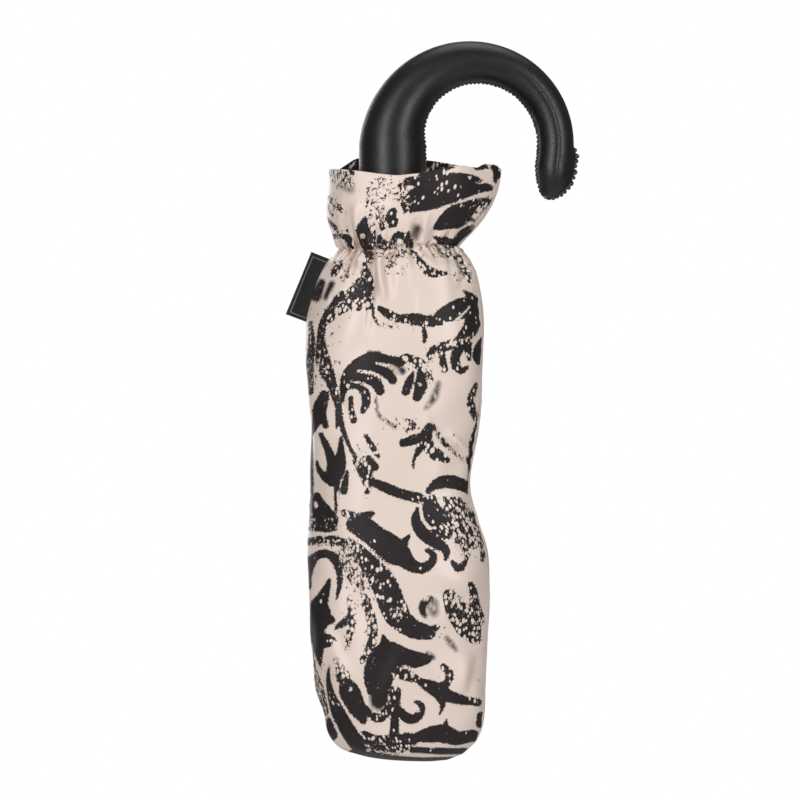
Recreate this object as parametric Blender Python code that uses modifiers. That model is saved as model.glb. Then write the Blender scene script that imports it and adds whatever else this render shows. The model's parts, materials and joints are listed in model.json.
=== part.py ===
"""A compact folding umbrella with a crook handle, furled inside its fabric sleeve.

The shaft stands on the Z axis with the crown at the bottom and the handle at the top.
The crook bends toward +X and the release button faces -Y. All lengths are in metres.
"""

import math

import bmesh
import bpy
from mathutils import Vector

OBJECT_NAME = "folding_umbrella"
GAP = 0.0003

# Crook handle
STEM_RADIUS = 0.01485
LIMB_RADIUS = 0.0080
TIP_RADIUS = 0.0070
TAPER_POWER = 2.4
HANDLE_FOOT_Z = 0.2410
CROOK_CENTRE_Z = 0.27765
CROOK_RADIUS = 0.0369
LIMB_LENGTH = 0.0245
LIMB_LEAN = 0.0024
LEATHER = 0.0012
SWEEP_RESOLUTION = 7
ARCH_STEPS = 22
LIMB_STEPS = 3
TIP_STEPS = 4
TIP_STEP_DEGREES = 20.0
CUTTER_REACH = 0.0040

# Cup under the handle, which the rib tips tuck into
CUP_RADIUS = 0.0151
CUP_WALL = 0.0008
CUP_MOUTH_Z = 0.2280
CUP_PLATE_Z = 0.2365
CUP_CHAMFER = 0.0006

# Telescopic shaft
TUBE_WALL = 0.0006
OUTER_TUBE_RADIUS = 0.0060
MIDDLE_TUBE_RADIUS = OUTER_TUBE_RADIUS - TUBE_WALL - GAP
INNER_TUBE_RADIUS = MIDDLE_TUBE_RADIUS - TUBE_WALL - GAP
OUTER_TUBE_Z = (0.0300, 0.2700)
MIDDLE_TUBE_Z = (0.0270, 0.2550)
INNER_TUBE_Z = (0.0135, 0.2520)
TUBE_SIDES = 24
ROUND_SIDES = 32
PIN_HOLE_LENGTH = 0.0400
CORE_BORE_START_Z = 0.2390
PIN_Z = 0.2630
PIN_RADIUS = 0.0010
PIN_LENGTH = 0.0250

# Release button
BUTTON_Z = 0.2520
BUTTON_RADIUS = 0.0043
BUTTON_PROUD = 0.0018
BUTTON_INNER_Y = 0.0104
POCKET_FLOOR_Y = 0.0074
COVER_HOLE_FLOOR_Y = 0.0110
BUTTON_DOME = 0.0006
SPRING_RADIUS = 0.0026
SPRING_WIRE = 0.0002
SPRING_TURNS = 3
SPRING_TURN_STEPS = 12
SPRING_END_GAP = 0.0001

# Crown, cap and runner
CROWN_RADIUS = 0.0104
CROWN_Z = (0.0075, 0.0220)
CROWN_SLOT_RADIUS = 0.0086
CROWN_CHAMFER = 0.0008
SLOT_DEPTH = 0.0080
SLOT_OVERRUN = 0.0010
CAP_RADIUS = 0.0075
CAP_Z = (0.0013, 0.0050)
CAP_EDGE = 0.0008
CAP_SIDE = 0.0020
CAP_DOME = 0.0006
CAP_STUD_RADIUS = 0.0022
CAP_STUD_TOP_Z = 0.0110
RUNNER_BORE = OUTER_TUBE_RADIUS + GAP
RUNNER_HEAD_RADIUS = 0.0086
RUNNER_NECK_RADIUS = 0.0080
RUNNER_Z = (0.1960, 0.2060, 0.2240)

# Ribs: three folded sections and a stretcher in each of eight radial planes
RIB_COUNT = 8
RIB_WIDTH = 0.0020
STRETCHER_R = (0.0074, 0.0086)
RIB_INNER_R = (0.0090, 0.0103)
RIB_MIDDLE_R = (0.0107, 0.0119)
RIB_OUTER_R = (0.0123, 0.0133)
STRETCHER_Z = (0.0980, 0.2040)
RIB_INNER_Z = (0.0120, 0.2140)
RIB_MIDDLE_Z = (0.0300, 0.2160)
RIB_OUTER_Z = (0.0340, 0.2268)
TIP_Z = (0.2271, 0.2335)
TIP_BALL_RADIUS = 0.0012
RIB_BEVEL = 0.0003

# Furled canopy and its strap
CANOPY_RADIUS = 0.0171
CANOPY_THICKNESS = 0.0034
CANOPY_FOOT_Z = 0.0054
CANOPY_TOP_Z = 0.2260
CANOPY_FLOOR = 0.0018
CANOPY_SIDE = [
    (0.0018, CANOPY_TOP_Z),
    (0.0006, 0.1950),
    (0.0, 0.1500),
    (0.0, 0.0800),
    (0.0006, 0.0400),
    (0.0020, 0.0180),
]
CANOPY_FOOT_FLARE = 0.0032
CANOPY_FOOT_CORNER = 0.0030
CANOPY_FOOT_EDGE = 0.0004
CANOPY_CROWN_GAP = 0.0010
CANOPY_CROWN_Z = 0.0150
CANOPY_INSIDE_Z = (0.0300, 0.2250)
STRAP_Z = (0.1720, 0.1840)
STRAP_RADIUS = 0.0180
STRAP_THICKNESS = 0.0006
SNAP_RADIUS = 0.0040
SNAP_THICKNESS = 0.0010

# Sleeve
SLEEVE_WALL = 0.0008
SLEEVE_SIDES = 36
FLOOR_HALF = Vector((0.0330, 0.0190))
FLOOR_CENTRE_X = 0.0030
CORNER_HEIGHT = 0.0150
BODY_HALF = Vector((0.0408, 0.0275))
BODY_CENTRE_X = 0.0026
SHOULDER_Z = 0.1900
NECK_HALF = Vector((0.0280, 0.0250))
NECK_CENTRE_X = 0.0022
NECK_Z = 0.2300
RIM_HALF = Vector((0.0386, 0.0300))
RIM_CENTRE_X = 0.0090
RIM_Z = 0.2672
RIM_TILT = 0.12
ELASTIC_Z = (0.2270, 0.2330)
ELASTIC_THICKNESS = 0.0005

# Woven label in the side seam of the sleeve
LABEL_TOP_Z = 0.2280
LABEL_BOTTOM_Z = 0.1985
LABEL_DROP = 0.0025
LABEL_REACH = 0.0105
LABEL_THICKNESS = 0.0008
LABEL_STEPS = 6


def clear_scene():
    for obj in list(bpy.data.objects):
        bpy.data.objects.remove(obj, do_unlink=True)


def make_collection(name):
    collection = bpy.data.collections.new(name)
    bpy.context.scene.collection.children.link(collection)
    return collection


def make_material(name, color, metallic=0.0, roughness=0.5):
    mat = bpy.data.materials.new(name)
    mat.use_nodes = True
    shader = mat.node_tree.nodes["Principled BSDF"]
    shader.inputs["Base Color"].default_value = (*color, 1.0)
    shader.inputs["Metallic"].default_value = metallic
    shader.inputs["Roughness"].default_value = roughness
    return mat


def black_leather():
    return make_material("black_leather", (0.022, 0.022, 0.022), roughness=0.5)


def black_plastic():
    return make_material("black_plastic", (0.03, 0.03, 0.03), roughness=0.4)


def plated_steel():
    return make_material("plated_steel", (0.62, 0.62, 0.63), 1.0, 0.25)


def black_steel():
    return make_material("black_steel", (0.08, 0.08, 0.085), 1.0, 0.35)


def printed_satin():
    return make_material("printed_satin", (0.74, 0.64, 0.57), roughness=0.4)


def canopy_cloth():
    return make_material("canopy_cloth", (0.74, 0.64, 0.57), roughness=0.5)


def woven_label():
    return make_material("woven_label", (0.03, 0.03, 0.03), roughness=0.8)


def elastic_webbing():
    return make_material("elastic_webbing", (0.7, 0.62, 0.56), roughness=0.9)


def place(obj, collection, mat=None):
    for old in list(obj.users_collection):
        old.objects.unlink(obj)
    collection.objects.link(obj)
    if mat is not None:
        obj.data.materials.clear()
        obj.data.materials.append(mat)
    return obj


def hide_cutter(obj):
    place(obj, CUTTERS)
    obj.hide_render = True
    obj.display_type = "WIRE"
    return obj


def shade_smooth(obj):
    for face in obj.data.polygons:
        face.use_smooth = True


def mesh_object(name, verts, edges, faces):
    mesh = bpy.data.meshes.new(name)
    mesh.from_pydata(verts, edges, faces)
    return bpy.data.objects.new(name, mesh)


def turned(name, profile, steps, closed=False):
    """Turn a profile of (radius, height) points about Z."""
    verts = [(r, 0.0, z) for r, z in profile]
    edges = [(i, i + 1) for i in range(len(verts) - 1)]
    if closed:
        edges.append((len(verts) - 1, 0))
    obj = mesh_object(name, verts, edges, [])
    screw = obj.modifiers.new("turn", "SCREW")
    screw.axis = "Z"
    screw.angle = math.tau
    screw.steps = steps
    screw.render_steps = steps
    screw.use_merge_vertices = True
    screw.merge_threshold = 0.00005
    screw.use_smooth_shade = True
    return obj


def ring(name, inner, outer, z_range, steps=TUBE_SIDES):
    low, high = z_range
    profile = [(outer, high), (outer, low), (inner, low), (inner, high)]
    return turned(name, profile, steps, closed=True)


def rod(name, radius, length, location, axis, sides=16):
    bpy.ops.mesh.primitive_cylinder_add(vertices=sides, radius=radius, depth=length)
    obj = bpy.context.object
    obj.name = name
    obj.location = location
    obj.rotation_euler = Vector(axis).to_track_quat("Z", "Y").to_euler()
    return obj


def cut(obj, cutter):
    boolean = obj.modifiers.new("cut_" + cutter.name, "BOOLEAN")
    boolean.operation = "DIFFERENCE"
    boolean.solver = "EXACT"
    boolean.object = hide_cutter(cutter)
    return obj


def swept(name, points, radii):
    """A closed tube of changing radius along a path, made as a bevelled curve."""
    curve = bpy.data.curves.new(name, "CURVE")
    curve.dimensions = "3D"
    curve.bevel_depth = STEM_RADIUS
    curve.bevel_resolution = SWEEP_RESOLUTION
    curve.use_fill_caps = True
    spline = curve.splines.new("POLY")
    spline.points.add(len(points) - 1)
    for point, place_at, radius in zip(spline.points, points, radii):
        point.co = (*place_at, 1.0)
        point.radius = radius / STEM_RADIUS
    holder = bpy.data.objects.new(name + "_curve", curve)
    bpy.context.scene.collection.objects.link(holder)
    graph = bpy.context.evaluated_depsgraph_get()
    mesh = bpy.data.meshes.new_from_object(holder.evaluated_get(graph))
    bpy.data.objects.remove(holder, do_unlink=True)
    shell = bmesh.new()
    shell.from_mesh(mesh)
    bmesh.ops.remove_doubles(shell, verts=shell.verts, dist=0.00001)
    bmesh.ops.recalc_face_normals(shell, faces=shell.faces)
    shell.to_mesh(mesh)
    shell.free()
    obj = bpy.data.objects.new(name, mesh)
    shade_smooth(obj)
    return obj


def crook_radius(turn):
    """Radius of the leather at a fraction of the way round the arch."""
    return LIMB_RADIUS + (STEM_RADIUS - LIMB_RADIUS) * (1.0 - turn) ** TAPER_POWER


def crook_path(foot_z, inset, end_inset):
    """Points and radii from the foot of the stem, over the arch and down to the tip."""
    points = [Vector((0.0, 0.0, foot_z))]
    radii = [STEM_RADIUS - inset]
    for i in range(ARCH_STEPS + 1):
        turn = i / ARCH_STEPS
        angle = math.pi * (1.0 - turn)
        across = CROOK_RADIUS * (1.0 + math.cos(angle))
        up = CROOK_CENTRE_Z + CROOK_RADIUS * math.sin(angle)
        points.append(Vector((across, 0.0, up)))
        radii.append(crook_radius(turn) - inset)
    limb = LIMB_LENGTH - end_inset
    tip = TIP_RADIUS - inset
    for i in range(1, LIMB_STEPS + 1):
        along = i / LIMB_STEPS
        down = (limb - tip) * along
        lean = LIMB_LEAN * along * along
        points.append(Vector((2 * CROOK_RADIUS - lean, 0.0, CROOK_CENTRE_Z - down)))
        radii.append(LIMB_RADIUS + (TIP_RADIUS - LIMB_RADIUS) * along - inset)
    last = points[-1]
    for i in range(1, TIP_STEPS + 1):
        angle = math.radians(TIP_STEP_DEGREES * i)
        points.append(last + Vector((0.0, 0.0, -tip * math.sin(angle))))
        radii.append(tip * math.cos(angle))
    return points, radii


def pocket_cutter(name, radius, floor_y):
    reach = STEM_RADIUS + CUTTER_REACH
    middle = -(reach + floor_y) / 2
    return rod(name, radius, reach - floor_y, (0, middle, BUTTON_Z), (0, -1, 0), 20)


def handle_cover(mat):
    obj = swept("handle_cover", *crook_path(HANDLE_FOOT_Z, 0.0, 0.0))
    cut(obj, swept("cover_hollow", *crook_path(HANDLE_FOOT_Z - CUTTER_REACH, LEATHER, LEATHER)))
    cut(obj, pocket_cutter("cover_button_hole", BUTTON_RADIUS + GAP, COVER_HOLE_FLOOR_Y))
    return place(obj, PARTS, mat)


def handle_core(mat):
    inset = LEATHER + GAP
    obj = swept("handle_core", *crook_path(HANDLE_FOOT_Z + GAP, inset, inset))
    bore_top = OUTER_TUBE_Z[1] + GAP
    bore_low = CORE_BORE_START_Z
    bore_middle = (0, 0, (bore_top + bore_low) / 2)
    bore_radius = OUTER_TUBE_RADIUS + GAP
    cut(obj, rod("core_bore", bore_radius, bore_top - bore_low, bore_middle, (0, 0, 1), TUBE_SIDES))
    cut(obj, pocket_cutter("core_pocket", BUTTON_RADIUS + GAP, POCKET_FLOOR_Y))
    cut(obj, rod("core_pin_hole", PIN_RADIUS + GAP, PIN_HOLE_LENGTH, (0, 0, PIN_Z), (1, 0, 0)))
    return place(obj, PARTS, mat)


def handle_collar(mat):
    bore = OUTER_TUBE_RADIUS + GAP
    top = HANDLE_FOOT_Z - GAP
    profile = [
        (CUP_RADIUS - CUP_CHAMFER, top),
        (CUP_RADIUS, top - CUP_CHAMFER),
        (CUP_RADIUS, CUP_MOUTH_Z),
        (CUP_RADIUS - CUP_WALL, CUP_MOUTH_Z),
        (CUP_RADIUS - CUP_WALL, CUP_PLATE_Z),
        (bore, CUP_PLATE_Z),
        (bore, top),
    ]
    return place(turned("handle_collar", profile, ROUND_SIDES, closed=True), PARTS, mat)


def outer_tube(mat):
    obj = ring("outer_tube", OUTER_TUBE_RADIUS - TUBE_WALL, OUTER_TUBE_RADIUS, OUTER_TUBE_Z)
    cut(obj, rod("tube_pin_hole", PIN_RADIUS + GAP, PIN_HOLE_LENGTH, (0, 0, PIN_Z), (1, 0, 0)))
    return place(obj, PARTS, mat)


def middle_tube(mat):
    inner = MIDDLE_TUBE_RADIUS - TUBE_WALL
    return place(ring("middle_tube", inner, MIDDLE_TUBE_RADIUS, MIDDLE_TUBE_Z), PARTS, mat)


def inner_tube(mat):
    inner = INNER_TUBE_RADIUS - TUBE_WALL
    return place(ring("inner_tube", inner, INNER_TUBE_RADIUS, INNER_TUBE_Z), PARTS, mat)


def shaft_pin(mat):
    return place(rod("shaft_pin", PIN_RADIUS, PIN_LENGTH, (0, 0, PIN_Z), (1, 0, 0)), PARTS, mat)


def push_button(mat):
    face = STEM_RADIUS + BUTTON_PROUD
    length = face - BUTTON_INNER_Y
    profile = [
        (0.0, length),
        (BUTTON_RADIUS * 0.6, length - BUTTON_DOME * 0.3),
        (BUTTON_RADIUS - BUTTON_DOME * 0.5, length - BUTTON_DOME),
        (BUTTON_RADIUS, length - 2 * BUTTON_DOME),
        (BUTTON_RADIUS, 0.0),
        (0.0, 0.0),
    ]
    obj = turned("push_button", profile, 24)
    obj.location = (0.0, -BUTTON_INNER_Y, BUTTON_Z)
    obj.rotation_euler = (math.radians(90.0), 0.0, 0.0)
    return place(obj, PARTS, mat)


def button_spring(mat):
    low = POCKET_FLOOR_Y + SPRING_WIRE + SPRING_END_GAP
    high = BUTTON_INNER_Y - SPRING_WIRE - SPRING_END_GAP
    steps = SPRING_TURNS * SPRING_TURN_STEPS
    points = []
    for i in range(steps + 1):
        angle = math.tau * i / SPRING_TURN_STEPS
        out = low + (high - low) * i / steps
        x = SPRING_RADIUS * math.cos(angle)
        z = BUTTON_Z + SPRING_RADIUS * math.sin(angle)
        points.append(Vector((x, -out, z)))
    obj = swept_wire("button_spring", points, SPRING_WIRE)
    return place(obj, PARTS, mat)


def swept_wire(name, points, radius):
    curve = bpy.data.curves.new(name, "CURVE")
    curve.dimensions = "3D"
    curve.bevel_depth = radius
    curve.bevel_resolution = 2
    curve.use_fill_caps = True
    spline = curve.splines.new("POLY")
    spline.points.add(len(points) - 1)
    for point, place_at in zip(spline.points, points):
        point.co = (*place_at, 1.0)
    return bpy.data.objects.new(name, curve)


def radial_slots(obj, name, slot_radius, z_range):
    """Cut a slot for each rib into the rim of a turned piece."""
    low, high = z_range
    for i in range(RIB_COUNT):
        angle = rib_angle(i)
        middle = slot_radius + SLOT_DEPTH / 2
        size = (SLOT_DEPTH, RIB_WIDTH + 2 * GAP, high - low)
        place_at = (middle * math.cos(angle), middle * math.sin(angle), (low + high) / 2)
        cut(obj, block(f"{name}_{i + 1}", size, place_at, angle))


def rib_angle(index):
    return math.tau * (index + 0.5) / RIB_COUNT


def block(name, size, location, angle):
    bpy.ops.mesh.primitive_cube_add(size=1.0)
    obj = bpy.context.object
    obj.name = name
    for vert in obj.data.vertices:
        vert.co = Vector(a * b for a, b in zip(vert.co, size))
    obj.location = location
    obj.rotation_euler = (0.0, 0.0, angle)
    return obj


def crown(mat):
    low, high = CROWN_Z
    bore = INNER_TUBE_RADIUS + GAP
    seat = INNER_TUBE_Z[0] - GAP
    stud = CAP_STUD_RADIUS + GAP
    profile = [
        (CROWN_RADIUS - CROWN_CHAMFER, high),
        (CROWN_RADIUS, high - CROWN_CHAMFER),
        (CROWN_RADIUS, low + CROWN_CHAMFER),
        (CROWN_RADIUS - CROWN_CHAMFER, low),
        (stud, low),
        (stud, seat),
        (bore, seat),
        (bore, high),
    ]
    obj = turned("crown", profile, ROUND_SIDES, closed=True)
    radial_slots(obj, "crown_slot", CROWN_SLOT_RADIUS, (RIB_INNER_Z[0] - GAP, high + SLOT_OVERRUN))
    return place(obj, PARTS, mat)


def end_cap(mat):
    low, high = CAP_Z
    profile = [
        (0.0, CAP_STUD_TOP_Z),
        (CAP_STUD_RADIUS, CAP_STUD_TOP_Z),
        (CAP_STUD_RADIUS, high),
        (CAP_RADIUS * 0.93, high),
        (CAP_RADIUS, high - CAP_EDGE),
        (CAP_RADIUS * 0.93, high - CAP_SIDE),
        (CAP_RADIUS * 0.70, low + CAP_DOME),
        (CAP_RADIUS * 0.36, low),
        (0.0, low),
    ]
    return place(turned("end_cap", profile, 28), PARTS, mat)


def runner(mat):
    low, shoulder, high = RUNNER_Z
    profile = [
        (RUNNER_NECK_RADIUS, high),
        (RUNNER_NECK_RADIUS, shoulder),
        (RUNNER_HEAD_RADIUS, shoulder),
        (RUNNER_HEAD_RADIUS, low),
        (RUNNER_BORE, low),
        (RUNNER_BORE, high),
    ]
    obj = turned("runner", profile, ROUND_SIDES, closed=True)
    radial_slots(obj, "runner_slot", STRETCHER_R[0] - GAP, (low - SLOT_OVERRUN, STRETCHER_Z[1] + GAP))
    return place(obj, PARTS, mat)


def bar(name, index, r_range, z_range, mat):
    """One flat steel section lying along the shaft in a rib's radial plane."""
    angle = rib_angle(index)
    middle = sum(r_range) / 2
    size = (r_range[1] - r_range[0], RIB_WIDTH, z_range[1] - z_range[0])
    place_at = (middle * math.cos(angle), middle * math.sin(angle), sum(z_range) / 2)
    obj = block(f"{name}_{index + 1}", size, place_at, angle)
    bevel = obj.modifiers.new("edges", "BEVEL")
    bevel.width = RIB_BEVEL
    bevel.segments = 1
    return place(obj, PARTS, mat)


def rib_tip(index, mat):
    angle = rib_angle(index)
    middle = sum(RIB_OUTER_R) / 2
    low, high = TIP_Z
    waist = TIP_BALL_RADIUS * 0.75
    ball = high - TIP_BALL_RADIUS
    profile = [
        (0.0, high),
        (TIP_BALL_RADIUS * 0.7, high - TIP_BALL_RADIUS * 0.3),
        (TIP_BALL_RADIUS, ball),
        (waist, ball - TIP_BALL_RADIUS),
        (waist, low),
        (0.0, low),
    ]
    obj = turned(f"rib_tip_{index + 1}", profile, 10)
    obj.location = (middle * math.cos(angle), middle * math.sin(angle), 0.0)
    return place(obj, PARTS, mat)


def canopy(mat):
    inner = CANOPY_RADIUS - CANOPY_THICKNESS
    foot = CANOPY_FOOT_Z
    hole = CAP_STUD_RADIUS + GAP
    floor = foot + CANOPY_FLOOR
    side = [(CANOPY_RADIUS - inset, z) for inset, z in CANOPY_SIDE]
    profile = [
        *side,
        (CROWN_RADIUS + CANOPY_FOOT_FLARE, foot + CANOPY_FOOT_CORNER),
        (CROWN_RADIUS, foot + CANOPY_FOOT_EDGE),
        (hole, foot),
        (hole, floor),
        (CROWN_RADIUS + GAP, floor),
        (CROWN_RADIUS + CANOPY_CROWN_GAP, CANOPY_CROWN_Z),
        (inner, CANOPY_INSIDE_Z[0]),
        (inner, CANOPY_INSIDE_Z[1]),
    ]
    return place(turned("canopy", profile, 28, closed=True), PARTS, mat)


def tie_strap(mat):
    obj = ring("tie_strap", STRAP_RADIUS - STRAP_THICKNESS, STRAP_RADIUS, STRAP_Z, ROUND_SIDES)
    return place(obj, PARTS, mat)


def strap_snap(mat):
    profile = [
        (0.0, SNAP_THICKNESS),
        (SNAP_RADIUS * 0.7, SNAP_THICKNESS * 0.9),
        (SNAP_RADIUS, SNAP_THICKNESS * 0.4),
        (SNAP_RADIUS, 0.0),
        (0.0, 0.0),
    ]
    obj = turned("strap_snap", profile, 24)
    obj.location = (0.0, -(STRAP_RADIUS + GAP), sum(STRAP_Z) / 2)
    obj.rotation_euler = (math.radians(90.0), 0.0, 0.0)
    return place(obj, PARTS, mat)


def ease(value):
    value = min(max(value, 0.0), 1.0)
    return value * value * (3.0 - 2.0 * value)


def sleeve_section(z):
    """Centre offset and half sizes of the sleeve's outside at a height."""
    if z <= CORNER_HEIGHT:
        rise = math.sqrt(max(0.0, 1.0 - (1.0 - z / CORNER_HEIGHT) ** 2))
        half = FLOOR_HALF.lerp(BODY_HALF, rise)
        return FLOOR_CENTRE_X + (BODY_CENTRE_X - FLOOR_CENTRE_X) * rise, half
    if z <= NECK_Z:
        close = ease((z - SHOULDER_Z) / (NECK_Z - SHOULDER_Z))
        centre = BODY_CENTRE_X + (NECK_CENTRE_X - BODY_CENTRE_X) * close
        return centre, BODY_HALF.lerp(NECK_HALF, close)
    flare = math.sin(math.pi / 2 * min(1.0, (z - NECK_Z) / (RIM_Z - NECK_Z)))
    centre = NECK_CENTRE_X + (RIM_CENTRE_X - NECK_CENTRE_X) * flare
    return centre, NECK_HALF.lerp(RIM_HALF, flare)


def section_ring(z, inset=0.0, tilt=0.0):
    centre, half = sleeve_section(z)
    points = []
    for i in range(SLEEVE_SIDES):
        angle = math.tau * i / SLEEVE_SIDES
        x = centre + (half.x - inset) * math.cos(angle)
        y = (half.y - inset) * math.sin(angle)
        points.append(Vector((x, y, z + tilt * y)))
    return points


def skin(name, rings, closed_loop=False, floor=False):
    """Join rings of points, which go from the bottom up, with quads."""
    count = len(rings[0])
    verts = [p for points in rings for p in points]
    faces = []
    spans = len(rings) if closed_loop else len(rings) - 1
    for row in range(spans):
        low = row * count
        high = (row + 1) % len(rings) * count
        for i in range(count):
            j = (i + 1) % count
            faces.append((low + i, low + j, high + j, high + i))
    if floor:
        faces.append(tuple(reversed(range(count))))
    return mesh_object(name, verts, [], faces)


def sleeve_heights():
    corner = [CORNER_HEIGHT * (1 - math.cos(math.radians(a))) for a in (0, 25, 50, 75, 90)]
    body = [CORNER_HEIGHT + (SHOULDER_Z - CORNER_HEIGHT) * i / 3 for i in range(1, 4)]
    shoulder = [SHOULDER_Z + (NECK_Z - SHOULDER_Z) * i / 6 for i in range(1, 7)]
    cuff = [NECK_Z + (RIM_Z - NECK_Z) * i / 6 for i in range(1, 7)]
    return corner + body + shoulder + cuff


def sleeve(mat):
    rings = []
    for z in sleeve_heights():
        tilt = RIM_TILT * max(0.0, (z - NECK_Z) / (RIM_Z - NECK_Z)) ** 2
        rings.append(section_ring(z, tilt=tilt))
    obj = skin("sleeve", rings, floor=True)
    solid = obj.modifiers.new("cloth", "SOLIDIFY")
    solid.thickness = SLEEVE_WALL
    solid.offset = -1.0
    solid.use_even_offset = True
    shade_smooth(obj)
    return place(obj, PARTS, mat)


def band_ring(z, inset):
    """A ring that follows the neck's section, whatever its height."""
    points = section_ring(NECK_Z, inset)
    return [Vector((p.x, p.y, z)) for p in points]


def sleeve_elastic(mat):
    low, high = ELASTIC_Z
    outside = SLEEVE_WALL + GAP
    inside = outside + ELASTIC_THICKNESS
    rings = [
        band_ring(low, outside),
        band_ring(high, outside),
        band_ring(high, inside),
        band_ring(low, inside),
    ]
    obj = skin("sleeve_elastic", rings, closed_loop=True)
    return place(obj, PARTS, mat)


def sleeve_edge_x(z):
    """Where the sleeve's outside meets the X-Z plane on its -X side."""
    centre, half = sleeve_section(z)
    return centre - half.x


def sleeve_label(mat):
    """A small folded label, its inner edge along the seam and its outer edge straight."""
    inner = []
    for i in range(LABEL_STEPS + 1):
        z = LABEL_BOTTOM_Z + (LABEL_TOP_Z - LABEL_BOTTOM_Z) * i / LABEL_STEPS
        inner.append(Vector((sleeve_edge_x(z) - 2 * GAP, z)))
    out = Vector((-LABEL_REACH, LABEL_DROP))
    outline = [inner[0] + out, *inner, inner[-1] + out]
    curve = bpy.data.curves.new("sleeve_label", "CURVE")
    curve.dimensions = "2D"
    curve.fill_mode = "BOTH"
    curve.extrude = LABEL_THICKNESS / 2
    spline = curve.splines.new("POLY")
    spline.points.add(len(outline) - 1)
    for point, corner in zip(spline.points, outline):
        point.co = (corner.x, corner.y, 0.0, 1.0)
    spline.use_cyclic_u = True
    obj = bpy.data.objects.new("sleeve_label", curve)
    obj.rotation_euler = (math.radians(90.0), 0.0, 0.0)
    return place(obj, PARTS, mat)


def build_handle():
    leather = black_leather()
    plastic = black_plastic()
    steel = plated_steel()
    handle_cover(leather)
    handle_core(plastic)
    handle_collar(steel)
    push_button(plastic)
    button_spring(steel)
    shaft_pin(steel)
    outer_tube(steel)
    middle_tube(steel)
    inner_tube(steel)
    return plastic, steel


def build_frame(plastic, steel):
    dark = black_steel()
    crown(plastic)
    runner(plastic)
    end_cap(plastic)
    for i in range(RIB_COUNT):
        bar("stretcher", i, STRETCHER_R, STRETCHER_Z, dark)
        bar("rib_inner", i, RIB_INNER_R, RIB_INNER_Z, dark)
        bar("rib_middle", i, RIB_MIDDLE_R, RIB_MIDDLE_Z, dark)
        bar("rib_outer", i, RIB_OUTER_R, RIB_OUTER_Z, dark)
        rib_tip(i, plastic)
    canopy(canopy_cloth())
    tie_strap(printed_satin())
    strap_snap(steel)


def build_sleeve():
    sleeve(bpy.data.materials["printed_satin"])
    sleeve_elastic(elastic_webbing())
    sleeve_label(woven_label())


clear_scene()
PARTS = make_collection(OBJECT_NAME)
CUTTERS = make_collection("cutters")
black_parts, bright_parts = build_handle()
build_frame(black_parts, bright_parts)
build_sleeve()
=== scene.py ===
"""Looks of the folding umbrella: leather crook, printed satin sleeve and furled canopy."""

import json
import math

import bpy
import numpy as np
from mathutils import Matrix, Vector


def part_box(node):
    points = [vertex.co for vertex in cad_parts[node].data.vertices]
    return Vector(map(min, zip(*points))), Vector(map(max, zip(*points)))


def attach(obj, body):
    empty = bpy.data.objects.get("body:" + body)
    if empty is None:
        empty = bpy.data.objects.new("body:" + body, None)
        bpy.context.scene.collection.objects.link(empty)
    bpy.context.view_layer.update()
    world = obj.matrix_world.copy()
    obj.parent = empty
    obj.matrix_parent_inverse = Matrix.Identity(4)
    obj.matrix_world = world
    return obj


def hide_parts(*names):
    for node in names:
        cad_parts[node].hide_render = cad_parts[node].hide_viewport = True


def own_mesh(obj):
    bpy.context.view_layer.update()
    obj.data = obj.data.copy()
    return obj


MM = 0.001
TAU = math.tau

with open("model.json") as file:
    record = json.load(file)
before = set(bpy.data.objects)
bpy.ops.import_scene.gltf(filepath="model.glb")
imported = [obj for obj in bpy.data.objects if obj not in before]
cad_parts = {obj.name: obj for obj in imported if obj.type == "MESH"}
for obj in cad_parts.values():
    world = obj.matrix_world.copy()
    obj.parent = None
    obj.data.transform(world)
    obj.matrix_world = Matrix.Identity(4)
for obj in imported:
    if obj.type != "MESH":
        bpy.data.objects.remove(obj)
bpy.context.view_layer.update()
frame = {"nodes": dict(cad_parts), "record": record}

# Sizes that come from the frame
COVER_LOW, COVER_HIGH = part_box("handle_cover")
STRAP_LOW, STRAP_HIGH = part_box("tie_strap")
BUTTON_LOW, BUTTON_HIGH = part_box("push_button")
SPRING_LOW, SPRING_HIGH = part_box("button_spring")
SNAP_LOW, SNAP_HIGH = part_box("strap_snap")
BUTTON_MIDDLE_Z = (BUTTON_LOW.z + BUTTON_HIGH.z) / 2

# Crook
STEM_RADIUS = -COVER_LOW.x
LIMB_RADIUS = 8.0 * MM
TAPER_POWER = 2.4
CROOK_RADIUS = (COVER_HIGH.x - LIMB_RADIUS) / 2
CROOK_CENTRE_Z = COVER_HIGH.z - CROOK_RADIUS - 9.3 * MM
LIMB_LENGTH = 24.5 * MM
LIMB_LEAN = 0.9 * MM
TIP_LENGTH = 14.5 * MM
TIP_LEAN = 2.4 * MM
CROOK_COLUMNS = 144
FLAP_TOP_Z = 277.5 * MM
CREASE_TURN = 1.40
FLAP_RISE = 5.0 * MM
FLAP_PROUD = 1.2 * MM
STITCH_SPACING = 1.9 * MM
STITCH_HALF = 1.9 * MM

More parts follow.
